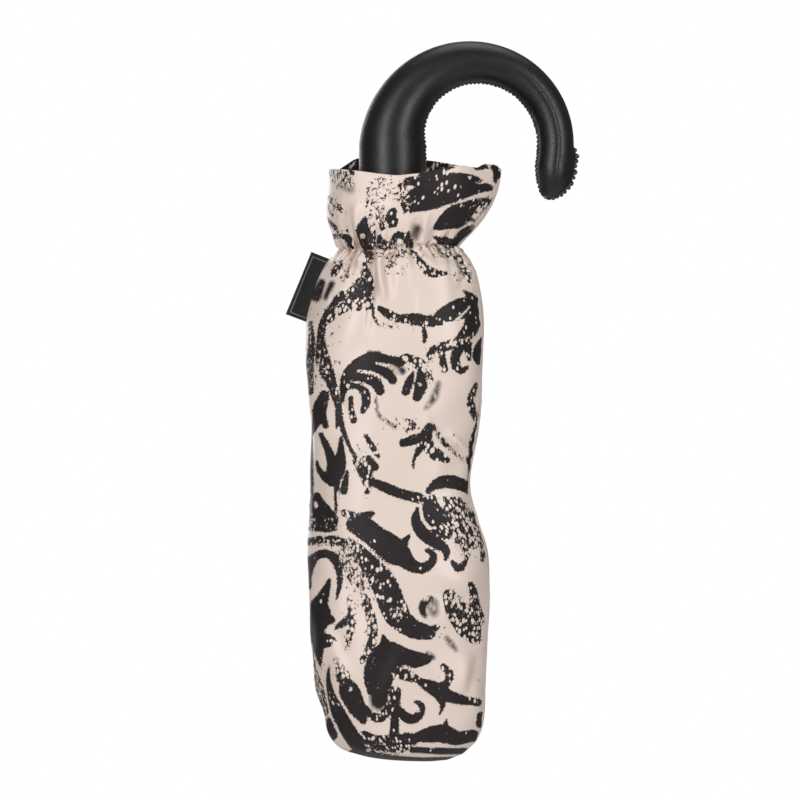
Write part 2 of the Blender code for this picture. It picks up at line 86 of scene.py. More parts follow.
# Sleeve, in millimetres: the outline of its two sides, from the middle of the floor up
LEFT_SIDE = [
    (8.0, 0.4), (-5.0, 1.2), (-15.0, 3.2), (-23.5, 6.6), (-28.8, 13.0), (-31.5, 23.0),
    (-35.2, 34.0), (-36.7, 50.0), (-36.9, 92.0), (-36.9, 135.0), (-37.7, 168.0),
    (-38.6, 190.0), (-35.6, 208.0), (-33.0, 217.0), (-28.6, 224.0), (-22.8, 229.2),
]
RIGHT_SIDE = [
    (8.0, 0.4), (20.0, 0.3), (28.0, 1.8), (35.0, 6.0), (39.8, 12.5), (42.0, 23.0),
    (42.3, 44.0), (43.0, 66.0), (44.0, 86.0), (42.6, 98.0), (38.4, 111.0), (35.4, 123.0),
    (36.4, 137.0), (38.8, 152.0), (41.0, 176.0), (41.3, 194.0), (40.2, 208.0),
    (38.4, 217.0), (35.2, 224.0), (28.4, 232.0),
]
CUFF_LEFT = [
    (-22.8, 229.2), (-25.4, 234.7), (-28.9, 243.0), (-29.9, 248.6), (-29.0, 258.0), (-29.4, 266.0),
]
CUFF_RIGHT = [
    (28.4, 232.0), (32.4, 235.0), (39.2, 241.6), (44.7, 250.4), (47.4, 258.6), (48.2, 265.8),
]
# The cuff's rim, seen from the front: share of the way from side to side, and height
FRONT_RIM = [
    (-1.0, 266.0), (-0.63, 264.1), (-0.39, 262.6), (-0.15, 261.3), (0.08, 262.5), (0.26, 264.7),
    (0.49, 266.4), (0.67, 265.8), (0.75, 265.4), (0.83, 267.6), (0.94, 267.6), (1.0, 265.8),
]
BACK_RIM = [
    (-1.0, 266.0), (-0.82, 267.4), (-0.72, 270.4), (-0.62, 273.4), (-0.3, 273.4), (0.15, 272.5),
    (0.36, 271.2), (0.5, 270.0), (0.8, 268.0), (1.0, 265.8),
]
BODY_DEPTH = 26.6
NECK_DEPTH = 24.2
RIM_DEPTH = 29.0
SLEEVE_COLUMNS = 320
BODY_ROWS = 250
CUFF_ROWS = 42
CLOTH_THICKNESS = 0.35
BODY_HALF = 40.0
FLOOR_FULL = 40.0
SECTION_POWER = 0.90
SEAM_TURN = -0.22
FOLD_DEPTH = 1.6
EYE_DISTANCE = 1500.0
EYE_X = 3.6
BACK_LAYER = 40.0
BACK_MIDDLE = 3.0
BACK_WIDTH = 84.0
INSIDE_FOOT = 256.0
BACK_TURN_Z = 262.0
INK_REACH = 6.0

# Folds on the sleeve's front, as they are seen: their line, height and half width
FRONT_FOLDS = [
    ([(-5.6, 228), (-5.4, 220), (-3.6, 208)], 1.7, 1.7),
    ([(-8.6, 228), (-8.6, 216), (-9.6, 203), (-10.8, 192)], -1.5, 1.5),
    ([(-2.6, 225), (-1.6, 216), (0.2, 208)], -0.8, 1.5),
    ([(-22, 228), (-27, 221.6)], 0.8, 1.5),
    ([(-17.1, 228.4), (-19.7, 223.3), (-22.8, 217)], -0.9, 1.3),
    ([(-14.6, 228), (-14, 222)], 0.7, 1.2),
    ([(12.5, 230.9), (17, 227.1), (25.8, 222.6)], 1.1, 1.5),
    ([(11.9, 229), (15.1, 225.2), (20.7, 220)], -0.9, 1.3),
    ([(0.5, 226), (-0.7, 212)], -0.5, 2.2),
    ([(27, 229), (32, 221), (31, 213)], -0.9, 2.0),
    ([(26, 232), (34.6, 224), (37, 216)], 0.7, 1.8),
    ([(-20.3, 246), (-18.4, 237.2), (-16.5, 230.3)], -1.2, 2.1),
    ([(-15.6, 248), (-16.4, 236)], 0.8, 2.2),
    ([(0.5, 248), (-3.2, 238.5), (-5.8, 230.6)], 0.9, 2.2),
    ([(11.3, 241.6), (10, 237.2), (10.6, 232.6)], -1.5, 1.9),
    ([(15.4, 245), (13.2, 234)], 1.0, 2.0),
    ([(21, 240), (17, 233.4)], -0.8, 1.6),
    ([(3.7, 251), (5, 242)], -0.6, 2.4),
    ([(25, 144.4), (29.4, 139.6), (34, 135.2)], -1.3, 1.1),
    ([(26, 147), (30.5, 142), (35, 138)], 0.8, 1.7),
    ([(17, 156), (22, 149), (26, 144)], -0.5, 1.7),
    ([(-25, 173), (-22.6, 165), (-21, 158)], -0.5, 1.6),
    ([(34, 48), (31, 36), (29, 30)], 0.7, 3.2),
    ([(38, 47), (35, 34)], -0.6, 2.2),
    ([(18, 86), (28, 83), (38, 79)], 0.9, 4.0),
    ([(20, 76), (29, 74), (38, 71)], -0.7, 3.0),
    ([(-30, 60), (-24, 48), (-22, 36)], 0.6, 3.4),
    ([(4, 60), (-4, 46), (-8, 30)], -0.5, 4.0),
]

# Label, elastic, canopy and strap, in millimetres
LABEL_FOLD = [(-36.4, 229.3), (-48.0, 201.2)]
LABEL_SEAM_Z = (225.6, 197.1)
LABEL_GAP = 0.25
LABEL_WIDTH = 9.5
LABEL_LENGTH = 30.6
ELASTIC_WIDTH = 10.0
ELASTIC_INSET = 3.6
CANOPY_LINE = [
    (3.2, 6.3), (7.0, 6.4), (10.2, 6.7), (12.6, 8.4), (14.0, 12.0), (15.0, 18.0), (16.2, 40.0),
    (16.8, 80.0), (16.8, 150.0), (16.2, 195.0), (15.0, 226.0),
]
CANOPY_ROWS = 190
CANOPY_COLUMNS = 360
CANOPY_AROUND = 104.0
PLEAT_COUNT = 8
PLEAT_DEPTH = 2.0
PLEAT_LIP = 0.90
PLEAT_TWIST = 0.45
STRAP_INNER = STRAP_HIGH.x / MM - 0.75
STRAP_STEP = 0.45
STRAP_WIDTH = 12.0
STRAP_START = -2.3
STRAP_LAP = 0.95

# Shaft and fittings: radius and height in millimetres
TUBE_WALL = 0.6
TUBES = [
    ("outer_tube", "handle", 6.0, 30.0, 270.0),
    ("middle_tube", "middle_shaft", 5.1, 27.0, 255.0),
    ("inner_tube", "upper_shaft", 4.2, 13.5, 252.0),
]
COLLAR_PROFILE = [
    (14.3, 228.2), (14.45, 228.0), (14.95, 228.0), (15.1, 228.2), (15.1, 239.9), (14.9, 240.5),
    (14.5, 240.7), (6.3, 240.7), (6.3, 236.5), (14.3, 236.5),
]
CAP_PROFILE = [
    (0.05, 1.3), (2.7, 1.35), (5.2, 1.85), (6.9, 2.9), (7.5, 3.9), (7.5, 4.3), (7.2, 4.8), (6.9, 5.0),
    (2.2, 5.0), (2.2, 10.9), (2.1, 11.0), (0.05, 11.0),
]
BUTTON_PROFILE = [
    (0.05, 0.0), (4.2, 0.0), (4.3, 0.1), (4.3, 5.0), (4.15, 5.55), (3.5, 5.95), (2.2, 6.15),
    (0.05, 6.25),
]
SNAP_PROFILE = [
    (0.05, 0.0), (3.9, 0.0), (4.0, 0.1), (4.0, 0.45), (3.75, 0.72), (3.3, 0.78), (3.0, 0.62),
    (2.6, 0.66),
    (1.6, 0.9), (0.05, 1.0),
]
SPRING_TURNS = 3
SPRING_RADIUS = 2.6
SPRING_WIRE = 0.2

# Studio
FLOOR_Z = -0.66
FLOOR_SIZE = 4.0
WORLD_LIGHT = 0.16
# Ink specks and the bites out of the ink need grains of their own, or they cancel out
INK_SPECK_SCALE = (0.46, 0.36, 1.0)
INK_SPECK_SPREAD = 0.135
INK_SPECK_RARE = 0.735
BITE_SCALE = (0.74, 0.52, 1.0)
BITE_SPREAD = 0.118
BITE_RARE = 0.715
SPECK_SHARPNESS = 6.5
SPECK_EDGE = 0.16
CAMERA_Z = 0.16245
FLOOR_GLOW = 0.50

# Colours, linear
LEATHER_DARK = (0.0030, 0.0029, 0.0029)
LEATHER_PALE = (0.0055, 0.0053, 0.0052)
SATIN = (0.80, 0.665, 0.585)
INK = (0.0170, 0.0134, 0.0142)
# Painted shade: the satin's colour in the hollows of its creases, as a share of its own colour
PAINTED_CREASE_SHADE = (0.52, 0.42, 0.35)
LEATHER_ROUGH = 0.34
LEATHER_ROUGH_SPREAD = 0.14
LEATHER_SPECULAR = 0.52

# Lights aim at the middle of the object; the camera stands back from its frame
LIGHTS_AIM = (0.0, 0.0, 0.17)
LENS = 150
SENSOR_WIDTH = 36
FRAME_WIDTH = 0.360


# ---------------------------------------------------------------- mesh helpers


def smooth_line(points, count):
    """Evenly spaced points on a smooth curve through the given ones."""
    keys = np.array(points, float)
    steps = np.linalg.norm(np.diff(keys, axis=0), axis=1)
    knots = np.concatenate([[0.0], np.cumsum(np.sqrt(steps))])
    slope = np.gradient(keys, knots, axis=0)
    fine = np.linspace(0.0, knots[-1], 40 * len(keys))
    at = np.clip(np.searchsorted(knots, fine, side="right") - 1, 0, len(knots) - 2)
    width = (knots[at + 1] - knots[at])[:, None]
    u = (fine[:, None] - knots[at][:, None]) / width
    curve = (
        keys[at] * (2 * u**3 - 3 * u**2 + 1)
        + slope[at] * width * (u**3 - 2 * u**2 + u)
        + keys[at + 1] * (3 * u**2 - 2 * u**3)
        + slope[at + 1] * width * (u**3 - u**2)
    )
    along = np.concatenate([[0.0], np.cumsum(np.linalg.norm(np.diff(curve, axis=0), axis=1))])
    even = np.linspace(0.0, along[-1], count)
    return np.stack([np.interp(even, along, curve[:, k]) for k in range(curve.shape[1])], axis=1)


def grid_faces(rows, columns, closed_rows=False):
    i = np.arange(rows - (0 if closed_rows else 1))[:, None]
    j = np.arange(columns)[None, :]
    below = i * columns
    above = (i + 1) % rows * columns
    right = (j + 1) % columns
    quads = np.stack([below + j, below + right, above + right, above + j], axis=-1)
    return quads.reshape(-1, 4)


def make_mesh(name, points, faces, smooth=True):
    mesh = bpy.data.meshes.new(name)
    mesh.from_pydata(np.asarray(points, float).reshape(-1, 3).tolist(), [], [list(f) for f in faces])
    mesh.validate()
    if smooth:
        mesh.shade_smooth()
    obj = bpy.data.objects.new(name, mesh)
    bpy.context.scene.collection.objects.link(obj)
    return obj


def tube_mesh(name, rings, cap_start=True, cap_end=True):
    """A mesh through rings of points, which are closed at both ends by a fan of the last ring."""
    rings = np.asarray(rings, float)
    rows, columns = rings.shape[:2]
    faces = grid_faces(rows, columns).tolist()
    if cap_start:
        faces.append(list(range(columns))[::-1])
    if cap_end:
        faces.append([(rows - 1) * columns + j for j in range(columns)])
    return make_mesh(name, rings, faces)


def open_mesh(name, grid):
    """A sheet through a grid of points (rows, columns, 3), open on all its sides."""
    rows, columns = grid.shape[:2]
    i, j = np.meshgrid(np.arange(rows - 1), np.arange(columns - 1), indexing="ij")
    low = i * columns + j
    quads = np.stack([low, low + 1, low + columns + 1, low + columns], axis=-1)
    return make_mesh(name, grid, quads.reshape(-1, 4))


def thicken(obj, thickness):
    """Give a sheet its thickness, in millimetres, on its inner side."""
    thick = obj.modifiers.new("cloth", "SOLIDIFY")
    thick.thickness = thickness * MM
    thick.offset = -1.0


def add_vectors(obj, name, values):
    attribute = obj.data.attributes.new(name, "FLOAT_VECTOR", "POINT")
    attribute.data.foreach_set("vector", np.asarray(values, np.float32).ravel())


def surface_normals(points):
    """Unit normals of a grid of points (rows, columns, 3), closed round its columns."""
    up = np.gradient(points, axis=0)
    around = (np.roll(points, -1, axis=1) - np.roll(points, 1, axis=1)) / 2
    normal = np.cross(around, up)
    return normal / np.maximum(np.linalg.norm(normal, axis=2, keepdims=True), 1e-9)


def ease(value):
    value = np.clip(value, 0.0, 1.0)
    return value * value * (3.0 - 2.0 * value)


def lathe(name, profile, steps=96):
    """Turn a closed profile of (radius, height) in millimetres about Z."""
    profile = np.array(profile, float)
    angle = TAU * np.arange(steps) / steps
    rings = np.stack(
        [
            profile[:, 0:1] * np.cos(angle),
            profile[:, 0:1] * np.sin(angle),
            np.repeat(profile[:, 1:2], steps, axis=1),
        ],
        axis=-1,
    )
    obj = make_mesh(name, rings * MM, grid_faces(len(profile), steps, closed_rows=True))
    obj.data.set_sharp_from_angle(angle=math.radians(35))
    return obj


def wave_field(around, along, rng, count, turns, lengths):
    """A smooth random field over the cloth: a sum of waves, each closing round the sleeve."""
    total = np.zeros(np.broadcast(around, along).shape)
    for _ in range(count):
        k = rng.integers(turns[0], turns[1] + 1)
        q = TAU / rng.uniform(*lengths) * rng.choice([-1, 1])
        total += np.cos(k * around + q * along + rng.uniform(0, TAU))
    return total / math.sqrt(count)


# ---------------------------------------------------------------- print
#
# The print is drawn in millimetres on the front panel as it is seen from the front: x from the
# shaft's axis, z up from the floor. Each mark is a brush stroke with half widths spread evenly
# along it. Lace breaks a stroke into holes, soft blurs its edge.


def mark(points, widths, lace=0.0, soft=0.0):
    return (points, widths, lace, soft)


def cuff_marks():
    return [
        mark([(8.4, 247.6), (14, 253.4), (20, 256.4), (26, 257.8), (32, 258.7), (38, 258.9),
             (43.6, 258)],
             (0.9, 4.8, 7.4, 7.2, 6.2, 4.6, 1.6)),
        mark([(8.6, 247.8), (12, 248.6), (17, 250)], (1.0, 1.5, 2.2)),
        mark([(20, 239.8), (24, 242.6), (29, 245), (34, 247.6), (38, 250.6), (42.6, 252.8)],
             (1.5, 3.8, 5.6, 4.2, 2.2, 0.8), 0.06),
        mark([(36, 244), (40, 249), (43.6, 253)], (1.4, 1.7, 1.3), 0.8),
        mark([(19.5, 235.5), (24, 233.5), (28, 233.2), (32, 236.6), (36, 241)],
             (0.8, 2.4, 2.6, 2.6, 0.8), 0.1),
        mark([(13.2, 264), (16, 262.8), (20, 264.6), (24, 266.6), (28.4, 267.6)],
             (1.3, 2.6, 1.9, 1.2, 0.4)),
        mark([(38.4, 266.8), (41.3, 267.8), (43.4, 267.2)], (0.9, 2.0, 0.9)),
        mark([(45.6, 267.4), (47.2, 264.6), (46.6, 261)], (1.0, 1.9, 1.2)),
        mark([(6.8, 260.6), (9, 261), (12, 260.6)], (1.8, 2.2, 2.4), 0.3),
        mark([(12.4, 258), (9.4, 255.4), (6.4, 251.8), (5.6, 247)], (1.6, 2.0, 2.4, 1.0), 0.55),
        mark([(3.8, 258.8), (5.2, 258.2)], (1.3, 1.3)),
        mark([(0.6, 247.4), (-0.6, 244.4), (1.4, 242.4), (-0.6, 240.8)], (1.8, 2.4, 2.0, 1.0), 0.3),
        mark([(-5, 245), (-4, 240)], (1.2, 1.3), 0.3),
        mark([(-12, 243.8), (-12.8, 239), (-11.2, 234.4), (-10.4, 230), (-10, 225)],
             (1.2, 3.0, 3.7, 2.3, 1.1)),
        mark([(-7.8, 238.6), (-8, 232.4)], (0.6, 1.0), 0.3),
        mark([(-5.2, 236.2), (-4, 232.4), (-1, 232)], (0.9, 2.4, 1.8)),
        mark([(0.2, 233), (2.4, 237), (5.4, 236), (6.8, 231.6)], (1.2, 1.6, 1.5, 1.0), 0.4),
        mark([(7.4, 237.6), (9, 231.4)], (0.9, 0.9), 0.2),
        mark([(11.6, 239.4), (10, 235.8)], (1.6, 1.1), 0.0, 0.7),
        mark([(-28.2, 264.6), (-23, 263.6), (-18, 259.8)], (1.4, 2.4, 1.6), 0.9),
        mark([(-22.6, 259.4), (-18.6, 257.4)], (1.0, 1.3), 0.5, 0.9),
        mark([(-28.6, 253.6), (-24.6, 249.6), (-22, 247)], (0.9, 1.4, 0.9), 0.8),
        mark([(-29, 243.6), (-25.4, 239.8)], (0.9, 1.1), 0.2),
        mark([(-25.6, 236.4), (-20.8, 235.8), (-18.4, 231)], (1.1, 1.2, 0.9), 0.35),
        mark([(-19, 268), (-17.6, 264.4)], (1.1, 1.0)),
    ]


def shoulder_marks():
    return [
        mark([(-2.4, 220.6), (0.5, 225.9), (4.3, 229.4), (8.8, 229), (13.2, 224), (17, 220.2),
             (24, 219.4)],
             (0.9, 1.3, 1.2, 1.2, 1.9, 2.5, 1.0), 0.75),
        mark([(15, 221.6), (19, 219.6), (24.4, 219.8)], (1.1, 1.9, 0.8), 0.4),
        mark([(20.6, 230.6), (27.7, 227.1), (31.5, 223.3), (35.3, 215.8)], (1.8, 1.8, 1.2, 0.8), 0.8),
        mark([(-26.5, 219), (-23.5, 223.5)], (1.3, 1.4), 0.3),
        mark([(-20.3, 222.1), (-20, 218)], (0.6, 0.9)),
        mark([(-12, 223.6), (-11.8, 218.4), (-13, 213), (-17.4, 210.4)], (0.9, 2.2, 4.6, 3.0), 0.35),
        mark([(-20, 207.4), (-14, 206.6), (-9.4, 207.8)], (1.6, 2.2, 1.9), 0.7),
        mark([(-31.5, 215.4), (-34.2, 209)], (1.5, 2.3), 0.0, 0.25),
        mark([(-27.2, 214.7), (-30, 208.6)], (1.5, 1.3), 0.0, 0.35),
        mark([(-22.4, 210.4), (-25.2, 206.8)], (1.2, 1.7), 0.2),
        mark([(32.5, 211.5), (36.5, 208.5), (39.5, 206)], (0.6, 1.9, 1.5)),
        mark([(-5.5, 203.8), (-2, 201.4), (2.6, 199.4), (7, 199.2), (11.1, 198.8), (16, 197.8),
             (21, 198.7)],
             (1.3, 2.2, 1.8, 2.4, 2.9, 2.6, 3.0), 0.45),
        mark([(-7, 198), (-3, 196), (0.4, 195)], (0.9, 1.0, 0.6), 0.85),
        mark([(22, 200.4), (26, 201.8), (31, 203.6), (36.2, 205.4)], (3.0, 4.4, 4.8, 3.6), 0.1),
        mark([(36.8, 206), (36.8, 199), (34.4, 193.6), (31, 190.4)], (2.8, 4.1, 4.0, 2.6), 0.2),
        mark([(14.2, 194.4), (14.9, 191), (14.4, 188.4)], (0.8, 1.3, 0.7)),
        mark([(35, 190.5), (30, 188.6), (25, 187), (19, 184.5), (15.8, 180.3)],
             (2.3, 2.5, 2.2, 2.5, 1.2), 0.7),
        mark([(22.2, 186), (22.6, 180.5), (23.4, 176.4)], (1.3, 1.4, 1.8), 0.5),
        mark([(31, 187.5), (28.2, 182), (28.6, 177.6), (31, 175.4), (33.4, 177.4)],
             (2.3, 2.3, 2.2, 1.8, 0.8), 0.6),
        mark([(33.6, 189), (34.4, 181.2)], (2.3, 1.2), 0.35),
        mark([(40.8, 190.4), (38.2, 184.6), (38.2, 180), (40.6, 179.6)], (0.9, 1.8, 2.1, 1.2)),
    ]


def left_side_marks():
    return [
        mark([(-21.5, 209), (-26, 205.5), (-29.5, 201), (-31.6, 195), (-32, 187)],
             (1.1, 1.5, 1.4, 1.8, 2.1), 0.05),
        mark([(-31.8, 187), (-31, 180), (-29.2, 175), (-27, 169), (-25, 163)],
             (2.3, 3.4, 3.3, 2.0, 1.0), 0.5),
        mark([(-36.6, 197), (-36, 188), (-36.8, 176), (-36.2, 166)], (1.2, 1.7, 1.8, 1.4), 0.3),
        mark([(-29.6, 197.5), (-24.5, 202.3), (-19.5, 204.6), (-13, 204.8), (-9, 205.5)],
             (1.3, 2.0, 2.4, 2.4, 1.8), 0.88),
        mark([(-8.6, 205), (-8.2, 200), (-6, 196.4)], (0.6, 0.7, 0.5), 0.2),
        mark([(-30.6, 164.6), (-32.4, 158), (-33.6, 152.6), (-36.6, 147.4)],
             (2.2, 3.2, 2.2, 1.4), 0.08),
        mark([(-32, 157), (-29.4, 150.6)], (2.6, 1.2)),
        mark([(-28, 170), (-24.6, 160.5), (-22.5, 149.9), (-19.2, 142), (-15.9, 136)],
             (1.9, 1.5, 1.3, 1.0, 0.8), 0.2),
        mark([(-24.8, 158), (-24.6, 149.8)], (0.9, 0.8), 0.3),
        mark([(-31.5, 147), (-29, 140.4), (-26.9, 133.8), (-26.4, 127)], (1.1, 1.7, 2.6, 3.6)),
        mark([(-34.2, 134.6), (-33.2, 130.8), (-29.4, 127.6), (-25.6, 128.4), (-23.2, 135.4),
             (-23, 145.6)],
             (0.8, 1.8, 3.4, 3.4, 1.8, 0.7)),
        mark([(-37.6, 146), (-37.6, 133), (-37.6, 119)], (1.5, 1.7, 1.8)),
        mark([(-24.6, 126.5), (-24.8, 112.6)], (1.5, 0.9)),
        mark([(-19.9, 130.4), (-20.8, 125.5), (-21.5, 121.5)], (0.7, 1.5, 1.8)),
        mark([(-34.4, 119.4), (-33, 114), (-30, 109.6), (-28, 108.4)], (1.6, 3.6, 5.0, 4.2)),
        mark([(-37, 116), (-36.6, 110), (-35.4, 105.4)], (1.6, 2.4, 2.2), 0.12),
        mark([(-35.4, 105), (-30, 104.6), (-25.6, 104)], (1.6, 1.8, 1.4), 0.45),
        mark([(-21.5, 111.8), (-18, 110.4)], (1.6, 2.0), 0.9),
        mark([(-16, 108.8), (-8.9, 111.4)], (2.6, 1.3)),
    ]


def comb_marks():
    return [
        mark([(-22.8, 161.6), (-22, 169), (-19, 174.6), (-14.4, 178.4), (-9, 181), (-3, 180.2),
             (3.6, 179.4)],
             (0.9, 1.8, 3.0, 3.4, 3.3, 2.7, 2.4)),
        mark([(-10.4, 184), (-6, 182.8)], (0.8, 1.6), 0.0, 0.2),
        mark([(-22, 164.6), (-20.6, 168), (-16, 169.2), (-12.2, 166), (-11.8, 160.6), (-13.2, 157.6)],
             (1.2, 1.5, 1.8, 2.2, 2.1, 1.4)),
        mark([(-18.7, 163.4), (-18.6, 158), (-17.4, 153.4)], (1.1, 1.2, 1.7), 0.3),
        mark([(-17, 172.8), (-11, 172), (-7, 170), (-5.4, 166.6)], (1.6, 2.1, 2.6, 2.2)),
        mark([(-12, 177.6), (-6, 176), (-1.6, 174), (0.4, 171.4)], (1.6, 1.9, 2.5, 2.0)),
        mark([(-1.4, 179.6), (4.6, 175.4)], (2.0, 1.7), 0.0, 0.4),
        mark([(9.6, 174.6), (7.4, 169.6), (6.2, 166.2)], (0.8, 2.1, 1.9)),
        mark([(12.8, 174.4), (13, 168.6), (11.2, 163.8)], (1.6, 3.0, 2.1), 0.1),
        mark([(5.9, 181.6), (11.8, 178.9), (16.4, 174.3), (17.8, 170.6)], (1.9, 2.8, 2.1, 1.0), 0.85),
        mark([(21, 170), (18.7, 163.1), (15.1, 158.8)], (0.8, 1.6, 0.5), 0.5, 0.6),
        mark([(37.4, 169.4), (35.4, 162.4), (37, 154)], (1.1, 1.8, 0.9), 0.75),
        mark([(-7.4, 163), (-6, 156), (1.9, 149.9)], (0.6, 0.8, 0.6), 0.8, 0.3),
    ]


def star_marks():
    return [
        mark([(16.6, 150.4), (14.2, 144), (12, 139.6), (9.9, 135.6), (9.7, 131.8)],
             (1.9, 3.3, 1.9, 0.8, 0.6)),
        mark([(5, 143.2), (11.1, 145)], (1.9, 2.5), 0.35),
        mark([(15.8, 142.8), (19.7, 138.2), (25, 135.4)], (2.9, 3.1, 1.6), 0.75),
        mark([(18.4, 151.4), (23.7, 143.3), (32.3, 136)], (0.9, 1.4, 0.9), 0.85),
        mark([(6.5, 153.4), (10, 151), (6.8, 148.6)], (0.9, 1.3, 1.0), 0.5),
        mark([(-1.6, 152.7), (2, 149.9)], (0.7, 0.7), 0.3),
        mark([(-12, 146.8), (-8.7, 141.3), (-5.9, 137)], (0.9, 1.5, 0.9), 0.65),
        mark([(-15.6, 135), (-12, 130.1), (-11, 124.8), (-11.4, 118.6)], (2.1, 3.3, 2.1, 0.5), 0.72),
        mark([(-10.4, 136.2), (-7.8, 132.4)], (1.5, 2.0), 0.1),
        mark([(-9.4, 126), (-0.7, 122.1), (5, 120), (11.9, 118.4)], (1.8, 2.4, 2.3, 2.5)),
        mark([(38.6, 153), (35.8, 139.3), (35.2, 126.4)], (1.2, 1.8, 1.5), 0.1),
        mark([(41.3, 169), (39.4, 158), (38.4, 152)], (0.8, 0.9, 0.9)),
    ]


def ribbon_marks():
    return [
        mark([(16, 121.6), (21, 125), (27.6, 125.5), (34.4, 122.6)], (1.0, 2.9, 3.1, 2.5), 0.1),
        mark([(17.1, 117.9), (18.4, 111.6), (23, 107)], (3.0, 4.6, 4.8), 0.3),
        mark([(23, 116), (30, 114), (35.6, 108)], (3.0, 4.6, 3.4), 0.85),
        mark([(22, 104), (29, 104), (36, 98.6)], (4.2, 6.0, 3.4), 0.82),
        mark([(11.5, 113.8), (10.8, 108.4), (14, 102.6), (19.4, 98.6), (24.4, 94.4), (24, 90.6)],
             (0.8, 2.4, 3.0, 2.9, 2.2, 0.8)),
        mark([(27, 89.6), (29.6, 86.6), (32.8, 89.8)], (1.0, 2.0, 1.0)),
        mark([(38.2, 107), (40.9, 99), (40.7, 90.6)], (2.3, 2.3, 1.2), 0.55),
        mark([(31, 99), (34, 92)], (1.5, 1.4), 0.9),
    ]


def great_leaf_marks():
    return [
        mark([(-16.6, 106.4), (-12, 104.4), (-7, 100.6), (-1, 96), (4, 92.4), (9, 88),
             (14, 86.8), (18, 89.6),
              (18.6, 93), (15.6, 94.8)], (4.0, 5.3, 5.0, 6.0, 6.2, 4.0, 2.9, 2.3, 1.8, 1.0)),
        mark([(4.4, 97), (8, 101.8)], (2.6, 0.5)),
        mark([(-13, 107.4), (-9.6, 112)], (3.2, 0.6)),
        mark([(-17.6, 97.6), (-12, 91.4), (-6.4, 84.4), (-2.4, 77), (0.2, 70), (4, 63.4),
             (10, 58.8), (16, 58),
              (20, 60.4)], (2.4, 4.4, 5.4, 6.0, 6.0, 6.0, 4.3, 3.4, 1.4), 0.5),
        mark([(-4, 88.6), (1.4, 79.4), (4, 73)], (0.8, 1.9, 1.4)),
        mark([(6.4, 63.6), (10, 59.4), (16.4, 57.8)], (3.4, 4.2, 3.3), 0.06),
        mark([(1.6, 68), (3, 64.6)], (3.4, 3.0), 0.97),
        mark([(17.4, 73.2), (14, 70.6), (13.6, 67.4), (15, 65)], (1.3, 1.9, 1.7, 0.9), 0.0, 0.2),
        mark([(18, 71), (18.6, 67)], (2.3, 1.6), 0.0, 0.9),
        mark([(25.6, 74.4), (29, 68.6), (33.6, 62), (37.6, 54.4)], (2.9, 5.8, 6.0, 2.2), 0.72),
        mark([(34.4, 79.6), (37, 74.6), (38.8, 64)], (1.4, 2.2, 3.0), 0.6),
        mark([(24.6, 55.6), (27, 52.4), (29, 50)], (0.7, 1.3, 0.6), 0.4, 0.5),
        mark([(-37, 98.6), (-31, 99.8), (-25, 99.2), (-21, 98)], (1.8, 1.7, 1.9, 1.8), 0.42),
        mark([(-36, 77.6), (-37, 84), (-35.4, 90.6), (-31, 93.4), (-27, 92), (-24.6, 87),
             (-23.8, 80), (-25, 72.8)],
             (0.7, 1.8, 2.2, 1.9, 2.1, 1.5, 1.2, 0.5), 0.1),
        mark([(-22, 93), (-18, 86), (-15, 78)], (3.0, 4.0, 2.6), 0.97),
    ]


def left_leaf_marks():
    return [
        mark([(-28.4, 81.4), (-30.6, 75), (-32.4, 70), (-32, 65), (-33.4, 60), (-33.4, 54), (-32.6, 48),
              (-32.2, 42.8)], (0.9, 2.2, 3.3, 5.0, 3.9, 3.6, 2.3, 0.6)),
        mark([(-29, 64), (-27, 63.4)], (2.6, 1.6)),
        mark([(-29.6, 54.2), (-27.4, 54.2)], (3.4, 2.2)),
        mark([(-25.4, 59.8), (-22.4, 61.8), (-20.6, 64)], (0.8, 1.8, 1.2)),
        mark([(-19, 73), (-18.4, 63.5), (-20.4, 50.6)], (1.4, 2.2, 1.0), 0.8),
        mark([(-12.7, 74), (-9.4, 63.5), (-9, 54), (-13.6, 45)], (1.4, 2.4, 2.2, 1.2), 0.76),
        mark([(-37, 50), (-36, 40), (-33.4, 31), (-30, 22)], (1.6, 2.0, 2.2, 1.6), 0.7),
        mark([(-24.6, 45), (-20.6, 38)], (1.6, 2.4), 0.85),
    ]


